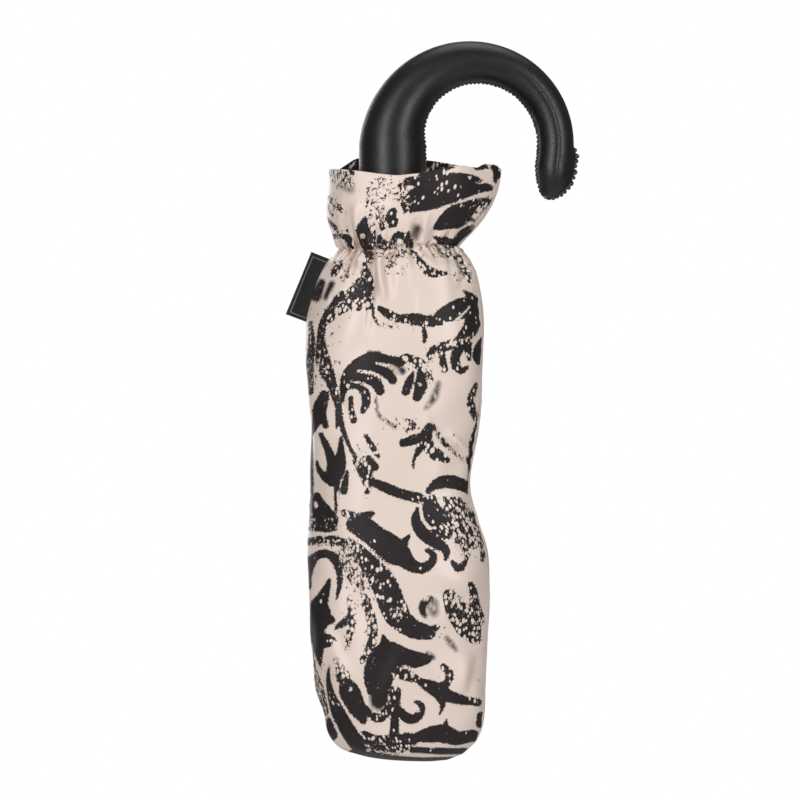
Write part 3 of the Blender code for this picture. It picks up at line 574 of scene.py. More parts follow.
def foot_marks():
    return [
        mark([(-28, 43), (-28.4, 36), (-26.8, 29), (-23.6, 21), (-19, 12.4), (-14.6, 5.6)],
             (0.5, 1.7, 2.7, 3.3, 3.7, 3.2)),
        mark([(-20.8, 37.4), (-18.6, 31), (-15.8, 24.4), (-12.8, 18.4)], (1.8, 4.6, 4.2, 1.8)),
        mark([(-22.6, 37), (-23.8, 41)], (1.4, 0.5)),
        mark([(-28.3, 18.2), (-26.9, 11.6)], (1.4, 2.4)),
        mark([(-4.2, 57), (-3, 51.6), (-4.6, 44), (-6, 37), (-6, 31), (-4.4, 26.8)],
             (0.4, 3.2, 7.0, 7.0, 5.2, 2.4)),
        mark([(0, 48.6), (6, 46.4), (12, 45.6), (15.4, 46)], (5.0, 4.6, 3.9, 2.6)),
        mark([(16, 47), (18.6, 46.6)], (2.2, 1.0), 0.5, 0.4),
        mark([(-10.4, 41), (-9, 36)], (2.2, 3.6)),
        mark([(3.4, 39.4), (8, 38), (11.4, 36.6)], (2.6, 2.6, 1.6), 0.4),
        mark([(12, 36), (18, 33), (22, 31), (26, 29), (32, 27.4), (38.2, 26.4)],
             (1.5, 3.1, 3.6, 2.7, 2.1, 1.4)),
        mark([(34, 27.2), (38.4, 26.4)], (1.8, 1.8), 0.5),
        mark([(22, 33), (25, 35.4), (26, 39), (23.2, 42.4)], (2.4, 1.7, 1.9, 1.6), 0.4),
        mark([(21.2, 30), (23, 25), (21.4, 20.8)], (2.8, 1.3, 0.4)),
        mark([(1.3, 31), (1.3, 20.6), (0.8, 10)], (2.9, 1.9, 2.3), 0.5),
        mark([(-6.6, 29.4), (-6.4, 26)], (3.6, 3.2), 0.0, 0.5),
        mark([(-1.5, 23.6), (-5.4, 19.4), (-9.8, 21), (-11.4, 24.6)], (2.2, 2.3, 1.9, 1.0), 0.35),
        mark([(3, 23), (6, 19.8), (9.6, 18.8), (13, 21.6), (13.4, 25), (10.6, 26.6)],
             (1.9, 2.3, 2.3, 2.0, 1.5, 0.8), 0.06),
        mark([(-12.4, 11.4), (-7.4, 7.6), (0, 7.2), (8, 9.4)], (2.4, 4.6, 4.8, 3.6), 0.5),
        mark([(11, 10.6), (17, 11.8), (23, 12.2), (29, 10.4), (36.4, 11.4)], (2.2, 3.7, 4.3, 3.1, 2.8)),
        mark([(24.2, 15), (24.7, 18.6)], (1.6, 0.4)),
        mark([(9, 5), (22, 4.4), (33, 4.6)], (1.4, 1.6, 1.4)),
        mark([(-18, 3), (-6, 1), (8, -1), (22, -1), (33, 1)], (2.0, 2.6, 3.0, 3.0, 1.6)),
        mark([(39.6, 20.8), (39.8, 17)], (1.6, 2.2)),
        mark([(-34, 5), (-20, -8), (0, -14), (20, -12), (34, 0)], (2.0, 3.0, 3.8, 3.0, 2.0), 0.4),
    ]


def slits():
    """Pale lines left between the strokes, each with a half width."""
    return [
        ([(38.4, 260), (44.6, 260.4)], 0.45),
        ([(35.2, 262.6), (35.8, 262.4)], 0.8),
        ([(-13, 236.8), (-13, 235.8)], 1.2),
        ([(-15.4, 175.4), (-10, 174.9), (-5, 172.7), (-2, 170.4)], 0.75),
        ([(-7, 178.9), (-2, 178), (1.6, 176.4), (3.6, 173.4)], 0.75),
        ([(-18.6, 170.9), (-13, 169.6), (-9, 166), (-8, 163)], 0.6),
        ([(-21, 161), (-20.2, 165.4), (-16.8, 166.6), (-15.6, 162)], 0.8),
        ([(12.2, 169.8), (13, 169.2)], 0.8),
        ([(24.5, 195.4), (30, 199.6), (35.2, 204.8)], 0.5),
        ([(24.5, 187.2), (31, 189.6), (36.5, 191.4)], 0.4),
        ([(14.5, 119.2), (22, 121.2), (30, 119.4), (36, 114.5)], 0.7),
        ([(-37, 101.8), (-29, 102.2), (-24, 103.2), (-20.6, 102.4), (-13, 97.2), (-8, 93),
         (-3, 88)], 0.65),
        ([(-24.2, 121), (-23.4, 112), (-22.6, 103.6)], 0.7),
        ([(-37.6, 94.4), (-32, 96.2), (-25, 95.6)], 0.55),
        ([(-2, 87), (2, 81.6), (5.4, 74.4)], 0.4),
        ([(-34.8, 116), (-34.4, 114.4)], 0.9),
        ([(-36.2, 109), (-34.6, 108.4)], 0.5),
        ([(-4.4, 59.4), (2, 53.8), (9.8, 51.6), (18.4, 53.4)], 0.7),
        ([(4.8, 43.2), (9.2, 41.2)], 0.55),
        ([(0.2, 39.4), (3, 36), (7.2, 33.6)], 0.65),
        ([(6.2, 38.8), (6.2, 37.4)], 0.8),
        ([(9.2, 38.9), (9.2, 37.6)], 0.8),
        ([(-18, 33), (-18, 32)], 0.8),
        ([(-27.2, 54.6), (-27, 53.8)], 0.8),
        ([(-25.6, 44), (-24.4, 33), (-21.4, 25), (-16.4, 17.2), (-9, 13)], 0.6),
        ([(-14, 38), (-12.6, 30), (-10.6, 25.4), (-4.6, 21.4)], 0.6),
        ([(12, 23.2), (12, 22)], 0.7),
        ([(9.6, 6.9), (20, 6.8), (35.4, 6.2)], 0.5),
        ([(-4, 3.6), (10, 3.2), (24, 2.4), (32, 2.6)], 0.4),
    ]


# Zones where the print breaks into specks: x, z, their half sizes and how dense they are
SPECK_ZONES = [
    (-23, 262, 7, 5, 1.6), (-26, 249, 4, 6, 1.5), (-8, 254, 6, 9, 1.6), (-7, 246, 5, 7, 1.7),
    (-3, 258, 5, 6, 1.6), (4, 255, 6, 6, 1.5), (-25, 238, 5, 5, 1.3), (41, 248, 4, 6, 0.9),
    (36, 242, 4, 4, 0.9), (0, 230, 12, 5, 1.4), (19, 230, 8, 4, 1.4), (31, 222, 6, 8, 1.2),
    (-22, 221, 5, 6, 1.3), (-15, 217, 5, 7, 1.0), (2, 222, 6, 4, 1.3), (-24, 203, 9, 4, 0.9),
    (-29, 184, 7, 16, 1.0), (-35, 176, 3, 12, 0.8), (4, 197, 16, 4, 0.8), (20, 184, 7, 6, 0.7),
    (12, 177, 7, 6, 0.7), (2, 152, 11, 4, 1.0), (12, 152, 8, 5, 0.8), (26, 143, 7, 8, 0.8),
    (-9, 141, 4, 7, 0.8), (-15, 136, 4, 8, 1.0), (-27, 165, 4, 8, 0.9), (36, 161, 3, 9, 0.6),
    (-19, 111, 5, 4, 1.1), (-27, 99, 9, 5, 1.1), (-19, 90, 5, 14, 1.5), (-13, 76, 6, 12, 1.2),
    (-35, 206, 4, 8, 0.7), (-33, 176, 5, 12, 1.1), (-27, 108, 6, 4, 0.9), (-18, 97, 6, 6, 1.4),
    (30, 112, 8, 8, 0.9), (33, 97, 7, 9, 1.0), (2, 66, 4, 4, 1.2), (29, 72, 8, 7, 0.7),
    (-20, 62, 4, 14, 1.0), (-10, 56, 4, 14, 1.0), (-33, 36, 4, 12, 1.1), (-22, 40, 4, 6, 1.1),
    (20, 58, 4, 4, 0.9), (24, 40, 4, 4, 0.7), (-4, 8, 10, 4, 0.7), (38, 66, 4, 12, 0.8),
    (39, 30, 3, 9, 0.7), (26, 52, 4, 4, 0.7),
]

# Marks on the inside of the cuff's back, as they are seen from the front above its rim
INSIDE_MARKS = [
    mark([(-22, 262), (-21, 268), (-19, 271.5), (-16, 273), (-12, 270)], (2.0, 2.6, 2.8, 2.8, 3.0)),
    mark([(-16, 262), (-12, 268)], (4.0, 4.0), 0.2),
    mark([(13, 271.4), (18, 269.4), (25, 268)], (2.4, 2.0, 1.0), 0.6),
    mark([(14, 266), (22, 264)], (2.6, 3.0), 0.6),
    mark([(28, 268.4), (36, 267.6)], (0.6, 0.5), 0.5),
    mark([(40, 266.4), (46, 264)], (1.8, 2.2)),
]


def capsules(points, widths):
    """A stroke as short round-ended pieces: two ends and two half widths for each."""
    length = np.linalg.norm(np.diff(np.array(points, float), axis=0), axis=1).sum()
    count = max(6, min(40, int(length / 1.5)))
    line = smooth_line(points, count)
    width = np.interp(np.linspace(0.0, 1.0, count), np.linspace(0.0, 1.0, len(widths)), widths)
    return np.column_stack([line[:-1], line[1:], width[:-1], width[1:]])


def stroke_distance(x, y, pieces):
    best = np.full(x.shape, 99.0)
    for x0, y0, x1, y1, r0, r1 in pieces:
        dx, dy = x1 - x0, y1 - y0
        t = ((x - x0) * dx + (y - y0) * dy) / max(dx * dx + dy * dy, 1e-9)
        t = np.clip(t, 0.0, 1.0)
        best = np.minimum(best, np.hypot(x - x0 - t * dx, y - y0 - t * dy) - (r0 + t * (r1 - r0)))
    return best


def near_box(x, y, pieces, margin):
    low = pieces[:, :4].reshape(-1, 2).min(axis=0) - margin
    high = pieces[:, :4].reshape(-1, 2).max(axis=0) + margin
    return (x > low[0]) & (x < high[0]) & (y > low[1]) & (y < high[1])


def draw_marks(x, z, fields, marks):
    """Add strokes to the ink, lace and soft fields. Where two meet, the nearer one's lace counts."""
    ink, lace, soft = fields
    for points, widths, holes, blur in marks:
        pieces = capsules(points, widths)
        near = near_box(x, z, pieces, max(widths) + INK_REACH)
        gap = stroke_distance(x[near], z[near], pieces)
        closer = gap < ink[near]
        ink[near] = np.where(closer, gap, ink[near])
        lace[near] = np.where(closer, holes, lace[near])
        soft[near] = np.where(closer, blur, soft[near])


def blank_fields(x):
    """No ink anywhere: its distance, the lace, the softness and the specks."""
    return [np.full(x.shape, INK_REACH), np.zeros(x.shape), np.zeros(x.shape), np.zeros(x.shape)]


def print_fields(x, z):
    """Ink distance, lace, softness and specks at places of the front as they are seen."""
    fields = blank_fields(x)
    marks = cuff_marks() + shoulder_marks() + left_side_marks() + comb_marks() + star_marks()
    marks += ribbon_marks() + great_leaf_marks() + left_leaf_marks() + foot_marks()
    draw_marks(x, z, fields[:3], marks)
    for points, width in slits():
        pieces = capsules(points, (width * 0.7, width, width * 0.7))
        near = near_box(x, z, pieces, width + INK_REACH)
        gap = stroke_distance(x[near], z[near], pieces)
        fields[0][near] = np.maximum(fields[0][near], -gap)
    for centre_x, centre_z, half_x, half_z, density in SPECK_ZONES:
        off = np.hypot((x - centre_x) / half_x, (z - centre_z) / half_z)
        fields[3] = np.maximum(fields[3], density * np.clip(1.7 - 1.2 * off, 0.0, 1.0))
    return fields


# ---------------------------------------------------------------- materials


class Nodes:
    """A material's node tree, with short ways to add and link nodes."""

    def __init__(self, name):
        self.material = bpy.data.materials.new(name)
        self.material.use_nodes = True
        self.tree = self.material.node_tree
        self.shader = self.tree.nodes["Principled BSDF"]

    def add(self, kind, **settings):
        node = self.tree.nodes.new("ShaderNode" + kind)
        for key, value in settings.items():
            setattr(node, key, value)
        return node

    def link(self, source, target):
        self.tree.links.new(source, target)

    def value(self, node, **sockets):
        for key, value in sockets.items():
            numbered = key[0] == "i" and key[1:].isdigit()
            socket = node.inputs[int(key[1:])] if numbered else node.inputs[key]
            if isinstance(value, bpy.types.NodeSocket):
                self.link(value, socket)
            else:
                socket.default_value = value
        return node

    def math(self, operation, a, b=0.0, c=0.0):
        node = self.add("Math", operation=operation)
        self.value(node, i0=a, i1=b, i2=c)
        return node.outputs[0]

    def attribute(self, name, vector=False):
        node = self.add("Attribute", attribute_name=name)
        return node.outputs["Vector" if vector else "Fac"]

    def parts(self, vector):
        node = self.add("SeparateXYZ")
        self.link(vector, node.inputs[0])
        return node.outputs[0], node.outputs[1], node.outputs[2]

    def scaled(self, vector, size):
        node = self.add("VectorMath", operation="MULTIPLY")
        self.value(node, i0=vector, i1=size)
        return node.outputs[0]

    def noise(self, vector, scale, detail=2.0, roughness=0.5):
        node = self.add("TexNoise")
        self.value(node, Vector=vector, Scale=scale, Detail=detail, Roughness=roughness)
        return node.outputs["Fac"]

    def cells(self, vector, scale, feature="F1"):
        node = self.add("TexVoronoi", feature=feature)
        self.value(node, Vector=vector, Scale=scale)
        return node.outputs["Distance"]

    def ramp(self, value, low, high, out_low=0.0, out_high=1.0, smooth=True):
        node = self.add("MapRange", interpolation_type="SMOOTHSTEP" if smooth else "LINEAR")
        self.value(node, Value=value)
        node.inputs["From Min"].default_value = low
        node.inputs["From Max"].default_value = high
        node.inputs["To Min"].default_value = out_low
        node.inputs["To Max"].default_value = out_high
        return node.outputs["Result"]

    def mix(self, factor, a, b):
        node = self.add("Mix", data_type="RGBA")
        self.value(node, i0=factor, i6=a, i7=b)
        return node.outputs[2]

    def bump(self, height, strength, distance, normal=None):
        node = self.add("Bump")
        node.inputs["Strength"].default_value = strength
        node.inputs["Distance"].default_value = distance
        self.link(height, node.inputs["Height"])
        if normal is not None:
            self.link(normal, node.inputs["Normal"])
        return node.outputs["Normal"]

    def object_vector(self):
        return self.add("TexCoord").outputs["Object"]

    def set(self, **sockets):
        for key, value in sockets.items():
            name = key.replace("_", " ")
            if isinstance(value, bpy.types.NodeSocket):
                self.link(value, self.shader.inputs[name])
            else:
                self.shader.inputs[name].default_value = value
        return self.material


def rgb(color):
    return (*color, 1.0)


def lace_holes(n, cloth, lace):
    """Rounded holes of uneven size: more of them and wider ones where the lace value is high."""
    cells = n.add("TexVoronoi")
    n.link(n.scaled(cloth, (0.62, 0.44, 1.0)), cells.inputs["Vector"])
    cells.inputs["Scale"].default_value = 1.0
    chance, size, _ = n.parts(cells.outputs["Color"])
    there = n.math("LESS_THAN", chance, n.math("MULTIPLY", lace, 1.15))
    reach = n.math("MULTIPLY_ADD", size, 0.26, 0.12)
    reach = n.math("MULTIPLY_ADD", lace, 0.30, reach)
    reach = n.math("SUBTRACT", n.math("MULTIPLY", reach, there), n.math("SUBTRACT", 1.0, there))
    return n.math("MULTIPLY", n.math("SUBTRACT", reach, cells.outputs["Distance"]), 1.9)


def splinters(n, cloth, scale, specks, spread, rare):
    """Ragged specks, closer together where the specks value is high."""
    grain = n.noise(n.scaled(cloth, scale), 1.0, 3.0, 0.70)
    level = n.math("MULTIPLY_ADD", specks, -spread, rare)
    return n.math("MULTIPLY", n.math("SUBTRACT", level, grain), SPECK_SHARPNESS)


def printed_cloth(name, satin=SATIN, gloss=0.36):
    """Satin with a charcoal print: solid strokes, lace holes, specks and a few blurred edges, and painted
    shade in the creases of its folds.
    """
    n = Nodes(name)
    cloth = n.attribute("cloth", vector=True)
    ink, lace, soft = n.parts(n.attribute("print", vector=True))
    # The second part of the specks attribute is how much painted shade each crease gets
    specks, crease_shade, _ = n.parts(n.attribute("specks", vector=True))
    edge = n.math("MULTIPLY_ADD", n.noise(cloth, 1.25, 2.0, 0.6), 2.2, -1.1)
    jagged = n.math("ADD", ink, n.math("MULTIPLY", edge, n.math("MULTIPLY_ADD", soft, -0.6, 1.0)))
    worn = n.ramp(n.noise(cloth, 0.045, 2.0), 0.52, 0.66, 0.0, 0.5)
    lace = n.math("MAXIMUM", lace, worn)
    holes = n.math("ADD", lace_holes(n, cloth, lace), n.math("MULTIPLY", edge, 0.22))
    field = n.math("MAXIMUM", jagged, holes)
    reach = n.math("MULTIPLY_ADD", soft, 2.4, 0.14)
    mask = n.ramp(n.math("DIVIDE", field, reach), 1.0, -1.0)
    ink_specks = splinters(n, cloth, INK_SPECK_SCALE, specks, INK_SPECK_SPREAD, INK_SPECK_RARE)
    bites = splinters(n, cloth, BITE_SCALE, specks, BITE_SPREAD, BITE_RARE)
    mask = n.math("MAXIMUM", mask, n.ramp(ink_specks, SPECK_EDGE, -SPECK_EDGE))
    mask = n.math("MINIMUM", mask, n.ramp(bites, -SPECK_EDGE, SPECK_EDGE))
    dim = tuple(c * 0.955 for c in satin)
    bright = tuple(min(1.0, c * 1.03) for c in satin)
    ground = n.mix(n.noise(cloth, 0.02, 1.0), rgb(dim), rgb(bright))
    # Painted shade: the satin is darkened towards the crease colour in the hollows of the folds and along
    # the neck's gather line
    creased = rgb(tuple(c * d for c, d in zip(satin, PAINTED_CREASE_SHADE)))
    ground = n.mix(n.math("MULTIPLY", crease_shade, 0.9), ground, creased)
    ink_tone = n.mix(n.noise(cloth, 0.25, 2.0), rgb(INK), rgb(tuple(c * 1.7 for c in INK)))
    weave = n.noise(n.scaled(cloth, (7.0, 2.2, 1.0)), 1.0, 1.0)
    slubs = n.noise(n.scaled(cloth, (0.12, 1.6, 1.0)), 1.0, 2.0)
    height = n.math("ADD", n.math("MULTIPLY", weave, 0.6), n.math("MULTIPLY", slubs, 0.5))
    rough = n.math("MULTIPLY_ADD", weave, 0.10, gloss - 0.03)
    rough = n.math("MULTIPLY_ADD", mask, 0.10, rough)
    tone = n.mix(mask, ground, ink_tone)
    normal = n.bump(height, 0.18, 0.0002)
    n.set(Base_Color=tone, Roughness=rough, Normal=normal)
    return n.set(Specular_IOR_Level=n.math("MULTIPLY_ADD", mask, -0.28, 0.46))


def leather_material():
    n = Nodes("black_leather")
    where = n.object_vector()
    pores = n.cells(where, 1500.0)
    folds = n.noise(where, 420.0, 4.0, 0.6)
    broad = n.noise(where, 60.0, 2.0)
    height = n.math("ADD", n.math("MULTIPLY", pores, 0.6), n.math("MULTIPLY", folds, 0.9))
    normal = n.bump(height, 0.35, 0.0002)
    color = n.mix(broad, rgb(LEATHER_DARK), rgb(LEATHER_PALE))
    rough = n.math("MULTIPLY_ADD", folds, LEATHER_ROUGH_SPREAD, LEATHER_ROUGH)
    n.set(Base_Color=color, Roughness=rough, Normal=normal)
    n.set(Specular_IOR_Level=LEATHER_SPECULAR)
    return n.material


def thread_material():
    n = Nodes("black_thread")
    where = n.object_vector()
    twist = n.noise(where, 2600.0, 2.0)
    normal = n.bump(twist, 0.5, 0.0002)
    color = n.mix(twist, rgb((0.010, 0.010, 0.010)), rgb((0.035, 0.035, 0.035)))
    n.set(Base_Color=color, Roughness=0.62, Normal=normal)
    n.set(Sheen_Weight=0.3)
    return n.material


def steel_material(name, color, rough):
    n = Nodes(name)
    where = n.object_vector()
    brushed = n.noise(n.scaled(where, (300.0, 300.0, 9000.0)), 1.0, 2.0)
    normal = n.bump(brushed, 0.05, 0.0001)
    tone = n.mix(n.noise(where, 90.0, 2.0), rgb(tuple(c * 0.9 for c in color)), rgb(color))
    rough_value = n.math("MULTIPLY_ADD", brushed, 0.12, rough - 0.06)
    n.set(Base_Color=tone, Roughness=rough_value, Normal=normal)
    n.set(Metallic=1.0)
    return n.material


def plastic_material():
    n = Nodes("black_plastic")
    where = n.object_vector()
    fine = n.noise(where, 3000.0, 2.0)
    normal = n.bump(fine, 0.12, 0.0001)
    tone = n.mix(n.noise(where, 120.0, 2.0), rgb((0.022, 0.022, 0.023)), rgb((0.032, 0.032, 0.033)))
    rough = n.math("MULTIPLY_ADD", fine, 0.12, 0.33)
    n.set(Base_Color=tone, Roughness=rough, Normal=normal)
    return n.material


def label_material():
    """A black woven label: fine warp and weft and a narrow grey frame, with nothing written on it."""
    n = Nodes("woven_label")
    cloth = n.attribute("cloth", vector=True)
    across, along, _ = n.parts(cloth)
    warp = n.math("SINE", n.math("MULTIPLY", across, TAU / 0.32))
    weft = n.math("SINE", n.math("MULTIPLY", along, TAU / 0.42))
    weave = n.math("MULTIPLY", warp, weft)
    from_end = n.math("SUBTRACT", LABEL_LENGTH / 2, n.math("ABSOLUTE", along))
    edge = n.math("MINIMUM", from_end, n.math("ABSOLUTE", across))
    line = n.ramp(n.math("ABSOLUTE", n.math("SUBTRACT", edge, 1.7)), 0.30, 0.18)
    tone = n.mix(n.noise(cloth, 1.5, 2.0), rgb((0.008, 0.008, 0.008)), rgb((0.016, 0.016, 0.016)))
    color = n.mix(line, tone, rgb((0.20, 0.195, 0.19)))
    n.set(Base_Color=color, Roughness=0.7, Normal=n.bump(weave, 0.4, 0.0001))
    return n.set(Sheen_Weight=0.2)


def elastic_material():
    n = Nodes("elastic_webbing")
    cloth = n.attribute("cloth", vector=True)
    ribs = n.math("SINE", n.math("MULTIPLY", n.parts(cloth)[0], TAU / 0.9))
    tone = n.mix(n.noise(cloth, 1.2, 2.0), rgb((0.62, 0.54, 0.49)), rgb((0.74, 0.66, 0.60)))
    n.set(Base_Color=tone, Roughness=0.85, Normal=n.bump(ribs, 0.5, 0.0002))
    return n.set(Sheen_Weight=0.3)


# ---------------------------------------------------------------- crook


def crook_radius(turn):
    return LIMB_RADIUS + (STEM_RADIUS - LIMB_RADIUS) * (1.0 - turn) ** TAPER_POWER


def crook_line():
    """Centre points, outward directions and radii from the foot of the stem to the tip."""
    centre, outward, radius = [], [], []
    for z in np.linspace(COVER_LOW.z, CROOK_CENTRE_Z, 26)[:-1]:
        centre.append((0.0, 0.0, z))
        outward.append((-1.0, 0.0, 0.0))
        radius.append(STEM_RADIUS)
    for turn in np.linspace(0.0, 1.0, 110):
        angle = math.pi * (1.0 - turn)
        out = (math.cos(angle), 0.0, math.sin(angle))
        centre.append((CROOK_RADIUS * (1 + out[0]), 0.0, CROOK_CENTRE_Z + CROOK_RADIUS * out[2]))
        outward.append(out)
        radius.append(crook_radius(turn))
    straight = LIMB_LENGTH - TIP_LENGTH
    for u in np.linspace(0.0, 1.0, 16)[1:]:
        centre.append((2 * CROOK_RADIUS - LIMB_LEAN * u * u, 0.0, CROOK_CENTRE_Z - straight * u))
        outward.append((1.0, 0.0, -0.08 * u))
        radius.append(LIMB_RADIUS)
    last = np.array(centre[-1])
    for angle in np.radians(np.linspace(7, 86, 18)):
        lean = TIP_LEAN * math.sin(angle) ** 2
        centre.append(tuple(last + (-lean, 0.0, -TIP_LENGTH * math.sin(angle))))
        outward.append((1.0, 0.0, -0.08))
        radius.append(LIMB_RADIUS * math.cos(angle) ** 1.15)
    outward = np.array(outward)
    outward /= np.linalg.norm(outward, axis=1, keepdims=True)
    return np.array(centre), outward, np.array(radius)


def crook_surface(centre, outward, radius, angle, proud=0.0):
    """Points at one angle round the crook, where 0 is its outside and pi its inside."""
    side = np.array([0.0, 1.0, 0.0])
    reach = (radius + proud)[:, None]
    return centre + outward * reach * math.cos(angle) + side * reach * math.sin(angle)


def flap_height(centre, radius):
    """How far the stitched end of the leather stands out on the outside of the limb."""
    below = np.clip((FLAP_TOP_Z - centre[:, 2]) / FLAP_RISE, 0.0, 1.0)
    limb = centre[:, 0] > CROOK_RADIUS
    return np.where(limb, FLAP_PROUD * ease(below) * np.minimum(1.0, radius / LIMB_RADIUS * 1.4), 0.0)


def build_crook(leather, thread):
    centre, outward, radius = crook_line()
    share = (radius / STEM_RADIUS) ** 0.3
    flap = flap_height(centre, radius)
    creased = ease((centre[:, 0] / CROOK_RADIUS - 1.45) / 0.35) * np.clip(radius / LIMB_RADIUS, 0, 1)
    rings = []
    for j in range(CROOK_COLUMNS):
        angle = TAU * j / CROOK_COLUMNS
        from_seam = abs(math.remainder(angle - math.pi, TAU))
        from_flap = abs(math.remainder(angle, TAU))
        lips = 0.30 * math.exp(-(((from_seam - 0.16) / 0.09) ** 2))
        groove = -0.35 * math.exp(-((from_seam / 0.06) ** 2))
        from_crease = math.remainder(angle + CREASE_TURN, TAU)
        lap = 1.0 / (1.0 + math.exp(from_crease / 0.035))
        fold = 0.45 * lap * math.exp(-((from_crease / 0.7) ** 2))
        proud = (lips + groove) * MM * share + creased * fold * MM
        proud = proud + flap * math.exp(-((from_flap / 0.42) ** 2))
        proud = np.where(radius > 0.3 * LIMB_RADIUS, proud, 0.0)
        rings.append(crook_surface(centre, outward, radius, angle, proud))
    rings = np.stack(rings, axis=1)[:, ::-1]
    obj = tube_mesh("crook_leather", rings)
    obj.data.materials.append(leather)
    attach(obj, "handle")
    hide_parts("handle_cover")
    build_seam(centre, outward, radius, flap, thread)


def tube_between(points, radius, sides=8):
    """Rings of a round thread along points."""
    points = np.asarray(points, float)
    ahead = np.gradient(points, axis=0)
    ahead /= np.linalg.norm(ahead, axis=1, keepdims=True)
    helper = np.array([0.31, 0.88, 0.36])
    first = np.cross(ahead, helper)
    first /= np.linalg.norm(first, axis=1, keepdims=True)
    second = np.cross(ahead, first)
    angle = TAU * np.arange(sides) / sides
    radius = np.broadcast_to(radius, len(points))[:, None, None]
    outward = first[:, None] * np.cos(angle)[None, :, None]
    sideways = second[:, None] * np.sin(angle)[None, :, None]
    ring = outward + sideways
    return points[:, None] + ring * radius


def join_tubes(name, tubes):
    verts, faces, start = [], [], 0
    for rings in tubes:
        rows, columns = rings.shape[:2]
        verts.append(rings.reshape(-1, 3))
        faces += (grid_faces(rows, columns) + start).tolist()
        faces.append([start + j for j in range(columns)][::-1])
        faces.append([start + (rows - 1) * columns + j for j in range(columns)])
        start += rows * columns
    return make_mesh(name, np.concatenate(verts), faces)


def seam_path(centre, outward, radius, flap):
    """The seam's line up the inside of the crook, round its tip and up the flap, and its stand-off."""
    inner = centre - outward * radius[:, None]
    outer = centre + outward * (radius + flap)[:, None]
    flap_rows = np.nonzero(flap > 0.02 * MM)[0]
    line = np.vstack([inner, outer[flap_rows][::-1]])
    proud = np.concatenate([np.zeros(len(inner)), flap[flap_rows][::-1]]) / FLAP_PROUD
    reach = np.concatenate([radius, radius[flap_rows][::-1]])
    steps = np.linalg.norm(np.diff(line, axis=0), axis=1)
    along = np.concatenate([[0.0], np.cumsum(steps)])
    even = np.arange(0.0, along[-1], 0.25 * MM)
    line = np.stack([np.interp(even, along, line[:, k]) for k in range(3)], axis=1)
    return line, np.interp(even, along, proud), np.interp(even, along, reach)


def build_seam(centre, outward, radius, flap, thread):
    """Whip stitches over the seam, coarser where they close the flap at the end."""
    line, proud, reach = seam_path(centre, outward, radius, flap)
    ahead = np.gradient(line, axis=0)
    ahead /= np.linalg.norm(ahead, axis=1, keepdims=True)
    normal = np.stack([ahead[:, 2], np.zeros(len(line)), -ahead[:, 0]], axis=1)
    rng = np.random.default_rng(5)
    tubes = []
    at = STITCH_SPACING
    while at < len(line) * 0.25 * MM - STITCH_SPACING:
        i = int(at / (0.25 * MM))
        round_limb = max(reach[i], 4.0 * MM)
        width = STITCH_HALF * rng.uniform(0.85, 1.15) * min(1.0, reach[i] / (5.0 * MM))
        lift = (0.28 + 0.25 * proud[i]) * rng.uniform(0.7, 1.3) * MM
        slant = STITCH_SPACING * rng.uniform(0.3, 0.6)
        points = []
        for u in np.linspace(-1.0, 1.0, 9):
            sink = (width * u) ** 2 / (2 * round_limb) + 0.45 * MM * u**6
            point = line[i] + normal[i] * (lift * (1 - u * u) + 0.1 * MM - sink)
            points.append(point + ahead[i] * slant * u + np.array([0.0, width * u, 0.0]))
        thick = (0.38 + 0.42 * proud[i]) * rng.uniform(0.85, 1.15) * MM
        tubes.append(tube_between(points, thick, 7))
        at += STITCH_SPACING * (1.0 + 0.3 * proud[i]) * rng.uniform(0.85, 1.15)
    obj = join_tubes("crook_stitches", tubes)
    obj.data.materials.append(thread)
    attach(obj, "handle")


# ---------------------------------------------------------------- sleeve


def rounded(wave):
    """A cosine or sine flattened a little, so that the sleeve's section is fuller than an oval."""
    return np.sign(wave) * np.abs(wave) ** SECTION_POWER


def column_angles(count=SLEEVE_COLUMNS):
    """Angles round the sleeve, from the seam on its +X side and over its back first."""
    return SEAM_TURN + TAU * np.arange(count) / SLEEVE_COLUMNS


def section_arc():
    """Arc length round the sleeve's body at each column, and once more at the end."""
    angle = column_angles(SLEEVE_COLUMNS + 1)
    x = BODY_HALF * rounded(np.cos(angle))
    y = BODY_DEPTH * rounded(np.sin(angle))
    return np.concatenate([[0.0], np.cumsum(np.hypot(np.diff(x), np.diff(y)))])


def edge_points(side, cuff):
    """Points up one side of the sleeve: the body's rows, then the cuff's."""
    return np.vstack([smooth_line(side, BODY_ROWS + 1)[1:], smooth_line(cuff, CUFF_ROWS + 1)[1:]])


def sleeve_rows():
    """Left and right edge points and the depth of every row of the sleeve, in millimetres."""
    left = edge_points(LEFT_SIDE, CUFF_LEFT)
    right = edge_points(RIGHT_SIDE, CUFF_RIGHT)
    half = (right[:, 0] - left[:, 0]) / 2
    height = (left[:, 1] + right[:, 1]) / 2
    depth = BODY_DEPTH * np.clip(half / FLOOR_FULL, 0, 1) ** 1.15
    close = ease((height - 190) / 39)
    depth = depth * (1 - close) + NECK_DEPTH * close
    flare = np.linspace(0, 1, CUFF_ROWS + 1)[1:]
    depth[BODY_ROWS:] = NECK_DEPTH + (RIM_DEPTH - NECK_DEPTH) * np.sin(flare * math.pi / 2)
    return left, right, depth


def rim_height(angle):
    """Height of the cuff's rim at each angle: it dips in front and stands up at the back."""
    share = np.cos(angle)
    front = np.interp(share, *np.array(FRONT_RIM).T)
    back = np.interp(share, *np.array(BACK_RIM).T)
    edge = np.where(np.sin(angle) < 0, front, back)
    near = np.arange(-3, 4)
    return np.mean([np.roll(edge, k) for k in near], axis=0)


def pleats(angle, cells, rng, sharp=0.65):
    """Rounded ridges of uneven width round the neck, and the number of the ridge at each angle."""
    widths = rng.uniform(0.55, 1.5, cells)
    edges = np.concatenate([[0.0], np.cumsum(widths)]) / widths.sum() * TAU
    phase = np.interp(angle % TAU, edges, np.arange(cells + 1))
    ridge = np.abs(np.sin(math.pi * phase)) ** sharp
    return ridge, np.minimum(phase.astype(int), cells - 1)


